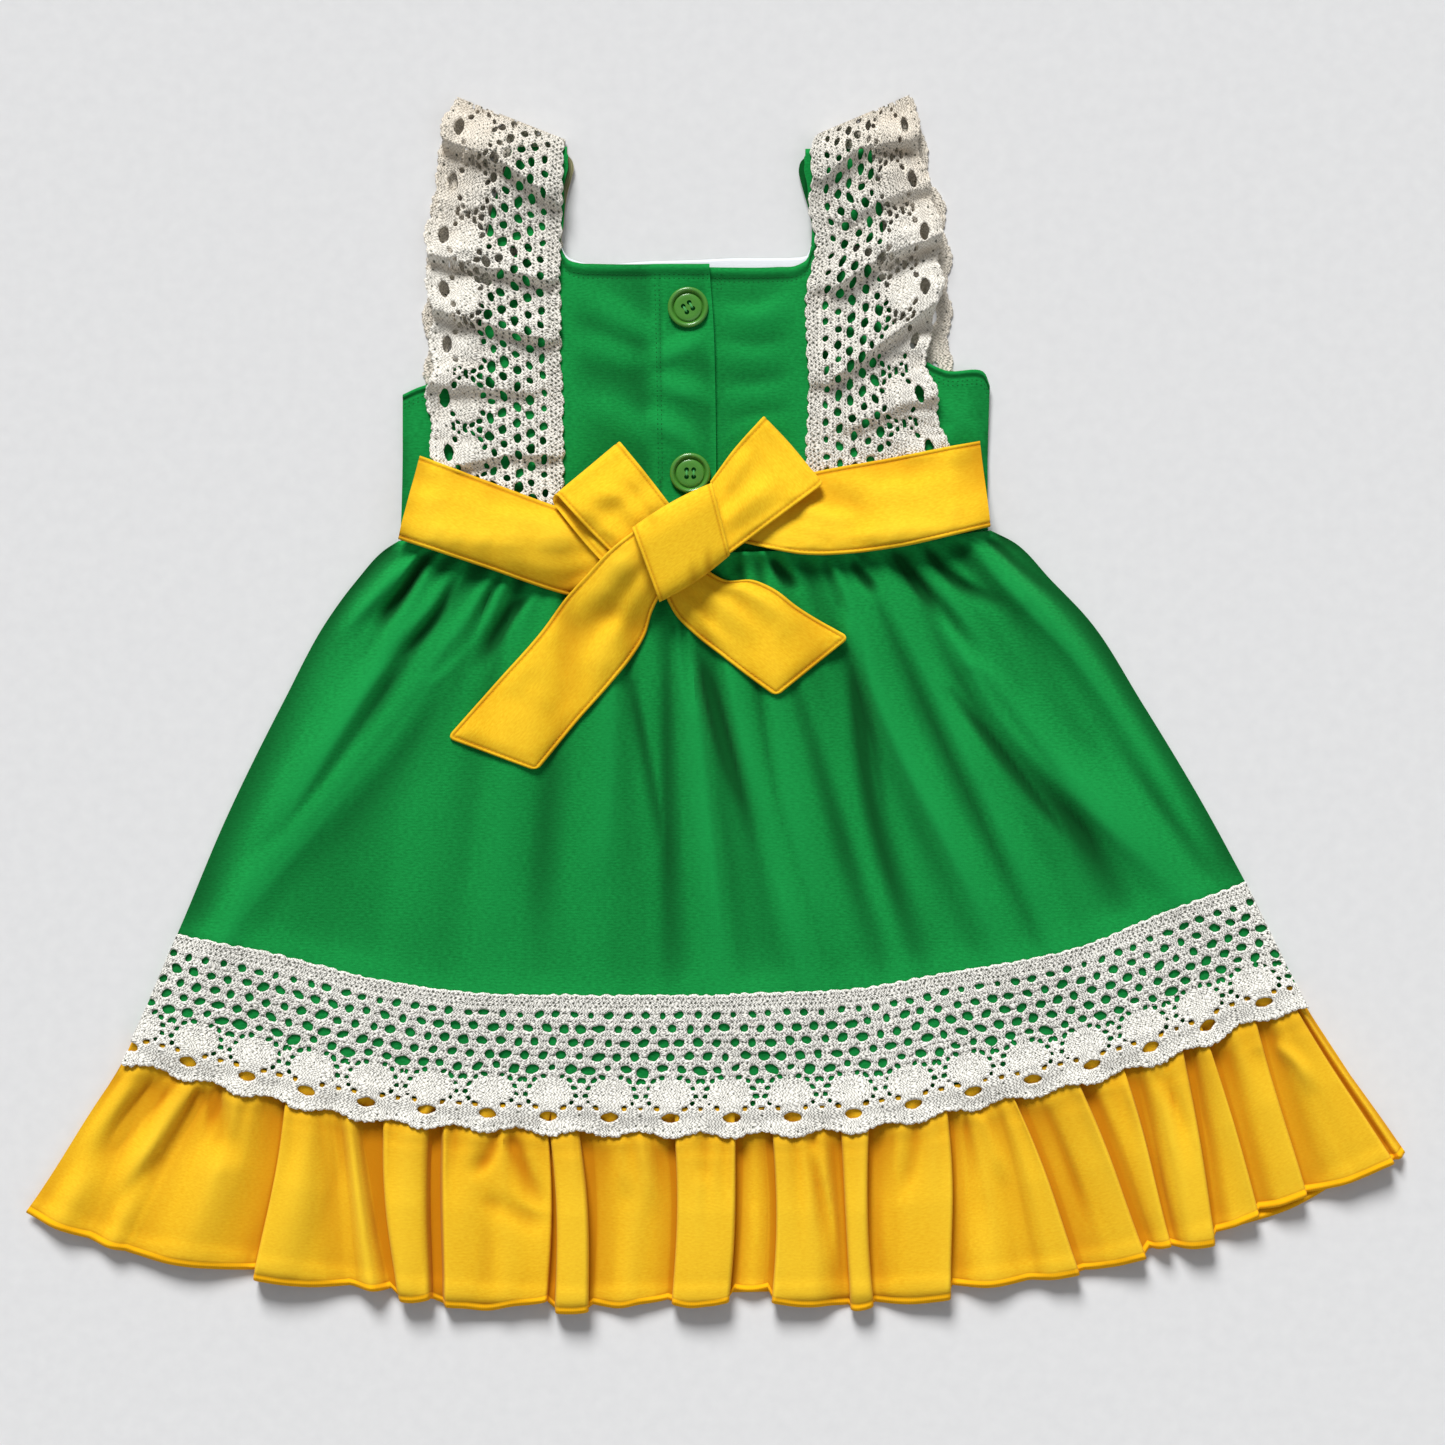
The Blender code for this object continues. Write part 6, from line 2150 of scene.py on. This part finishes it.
@dataclass(frozen=True)
class Studio:
    """Pale floor, soft light and the camera straight above the dress, in metres."""

    middle: tuple[float, float] = (0.00336, -0.00915)
    view_width: float = 0.6936
    distance: float = 1.6
    cloth_height: float = 0.008
    floor_half: float = 3.0
    floor_height: float = -0.0002
    sensor: float = 36.0
    sky: Colour = (0.95, 0.97, 1.0)
    sky_power: float = 0.22
    suns: tuple[tuple[str, tuple[float, float, float], float, float], ...] = (
        # name, where it comes from, spread, power
        ("window", (-0.4, 1.9, 1.4), 22.0, 3.95), ("fill", (0.9, -1.3, 1.9), 60.0, 0.35))

    def floor(self) -> None:
        """Lay the pale floor."""
        far = self.floor_half
        mesh = bpy.data.meshes.new("floor")
        mesh.from_pydata([(-far, -far, 0), (far, -far, 0), (far, far, 0), (-far, far, 0)], [], [(0, 1, 2, 3)])
        item = show("floor", mesh)
        item.location.z = self.floor_height
        mesh.materials.append(FloorFinish("pale floor").material())

    def camera(self) -> None:
        """Set the camera at the photograph's angle, straight down."""
        data = bpy.data.cameras.new("camera")
        data.sensor_width = self.sensor
        data.lens = self.sensor * (self.distance - self.cloth_height) / self.view_width
        data.clip_end = 20.0
        camera = show("camera", data)
        camera.location = (*self.middle, self.distance)
        bpy.context.scene.camera = camera

    def lights(self) -> None:
        """Hang a large soft light toward the shoulders and a weak one opposite."""
        for name, place, spread, power in self.suns:
            data = bpy.data.lights.new(name, "SUN")
            data.angle, data.energy = math.radians(spread), power
            aim = np.array(place) / norm(place)
            show(name, data).rotation_euler = (
                math.acos(aim[2]), 0.0, math.atan2(aim[1], aim[0]) + math.pi / 2)
        world = bpy.data.worlds.new("studio")
        world.use_nodes = True
        Tree(world.node_tree).feed(world.node_tree.nodes["Background"], {0: self.sky, 1: self.sky_power})
        bpy.context.scene.world = world
        bpy.context.scene.view_settings.view_transform = "Standard"


def finishes() -> Workroom:
    """Make every material and the empty bed.

    Returns:
        The workroom.
    """
    # each jersey's shade is painted shade and its crest a painted highlight; the lace's shade and pin are
    # painted shade
    cloths = {
        Slot.GREEN: JerseyFinish(
            "green jersey", light=(0.008, 0.30, 0.058), deep=(0.002, 0.16, 0.027), edge=(0.42, 0.33, 0.2),
            shade=(0.001, 0.06, 0.01), crest=(0.01, 0.335, 0.07), grain=0.62),
        Slot.YELLOW: JerseyFinish(
            "yellow jersey", light=(0.96, 0.61, 0.024), deep=(0.83, 0.42, 0.007), edge=(0.97, 0.46, 0.003),
            shade=(0.5, 0.17, 0.0008), crest=(1.0, 0.7, 0.042), grain=0.55),
        Slot.LINING: JerseyFinish(
            "white lining", light=(0.86, 0.88, 0.92), deep=(0.76, 0.79, 0.84), edge=(0.8, 0.82, 0.86),
            shade=(0.5, 0.52, 0.56), crest=(0.9, 0.92, 0.95)),
        Slot.LACE: LaceFinish(
            "cream crochet", light=(0.93, 0.91, 0.84), deep=(0.57, 0.54, 0.45), shade=(0.58, 0.43, 0.26),
            pin=(0.05, 0.06, 0.035)),
        Slot.BUTTON: ButtonFinish("green button", light=(0.085, 0.29, 0.04), deep=(0.05, 0.2, 0.02))}
    threads = {Slot.GREEN: ThreadFinish("green thread", (0.003, 0.13, 0.024)),
               Slot.BUTTON: ThreadFinish("light green thread", (0.12, 0.55, 0.16)),
               Slot.YELLOW: ThreadFinish("yellow thread", (0.72, 0.36, 0.01))}
    return Workroom(Bed(), {slot: finish.material() for slot, finish in cloths.items()},
                    {slot: finish.material() for slot, finish in threads.items()})


def main() -> None:
    """Lay the dress piece by piece, from the floor up, and set the studio."""
    logging.basicConfig(level=logging.INFO, format="%(name)s: %(message)s")
    room = finishes()
    bodice = Bodice(room)
    for side, inner, outer, seed in ((Side.LEFT, LACE_LEFT_INNER, LACE_LEFT_OUTER_FRONT, 61),
                                     (Side.RIGHT, LACE_RIGHT_INNER, LACE_RIGHT_OUTER_FRONT, 62)):
        ShoulderLace(room, side, Side.FRONT, inner, outer, seed, open_part=0.5, step=1.05).make()
    HemLace(room, Side.FRONT, step=1.15, seed=6).make()
    Ruffle(room, Side.FRONT).make()
    Skirt(room, Side.FRONT, cells=(50, 110)).make()
    bodice.make_front()
    bodice.make_back()
    Strap(room, Side.LEFT, STRAP_LEFT, piped=True).make()
    Strap(room, Side.RIGHT, STRAP_RIGHT).make()
    Skirt(room, Side.BACK, cells=(138, 270)).make()
    Ruffle(room, Side.BACK).make()
    HemLace(room, Side.BACK, step=0.75, seed=5).make()
    for side, inner, outer, seed, folds in (
            (Side.LEFT, LACE_LEFT_INNER, LACE_LEFT_OUTER, 41, FLUTTER_FOLDS_LEFT),
            (Side.RIGHT, LACE_RIGHT_INNER, LACE_RIGHT_OUTER, 42, FLUTTER_FOLDS_RIGHT)):
        ShoulderLace(room, side, Side.BACK, inner, outer, seed, folds=folds).make()
    for node, (x, y, turn) in BUTTONS.items():
        Button(room, node, x, y, turn).make()
    Ribbon(room, "sash_ribbon_left", "sash_left", SASH_LEFT).make()
    Ribbon(room, "sash_ribbon_right", "sash_right", SASH_RIGHT).make()
    Loop(room, Side.LEFT, LOOP_LEFT).make()
    Loop(room, Side.RIGHT, LOOP_RIGHT).make()
    Ribbon(room, "bow_tail_ribbon_right", "bow_tail_right", TAIL_RIGHT, sewn_end=True).make()
    Ribbon(room, "bow_tail_ribbon_left", "bow_tail_left", TAIL_LEFT, sewn_end=True).make()
    Knot(room).make()
    studio = Studio()
    studio.floor()
    studio.camera()
    studio.lights()


if __name__ == "__main__":
    main()
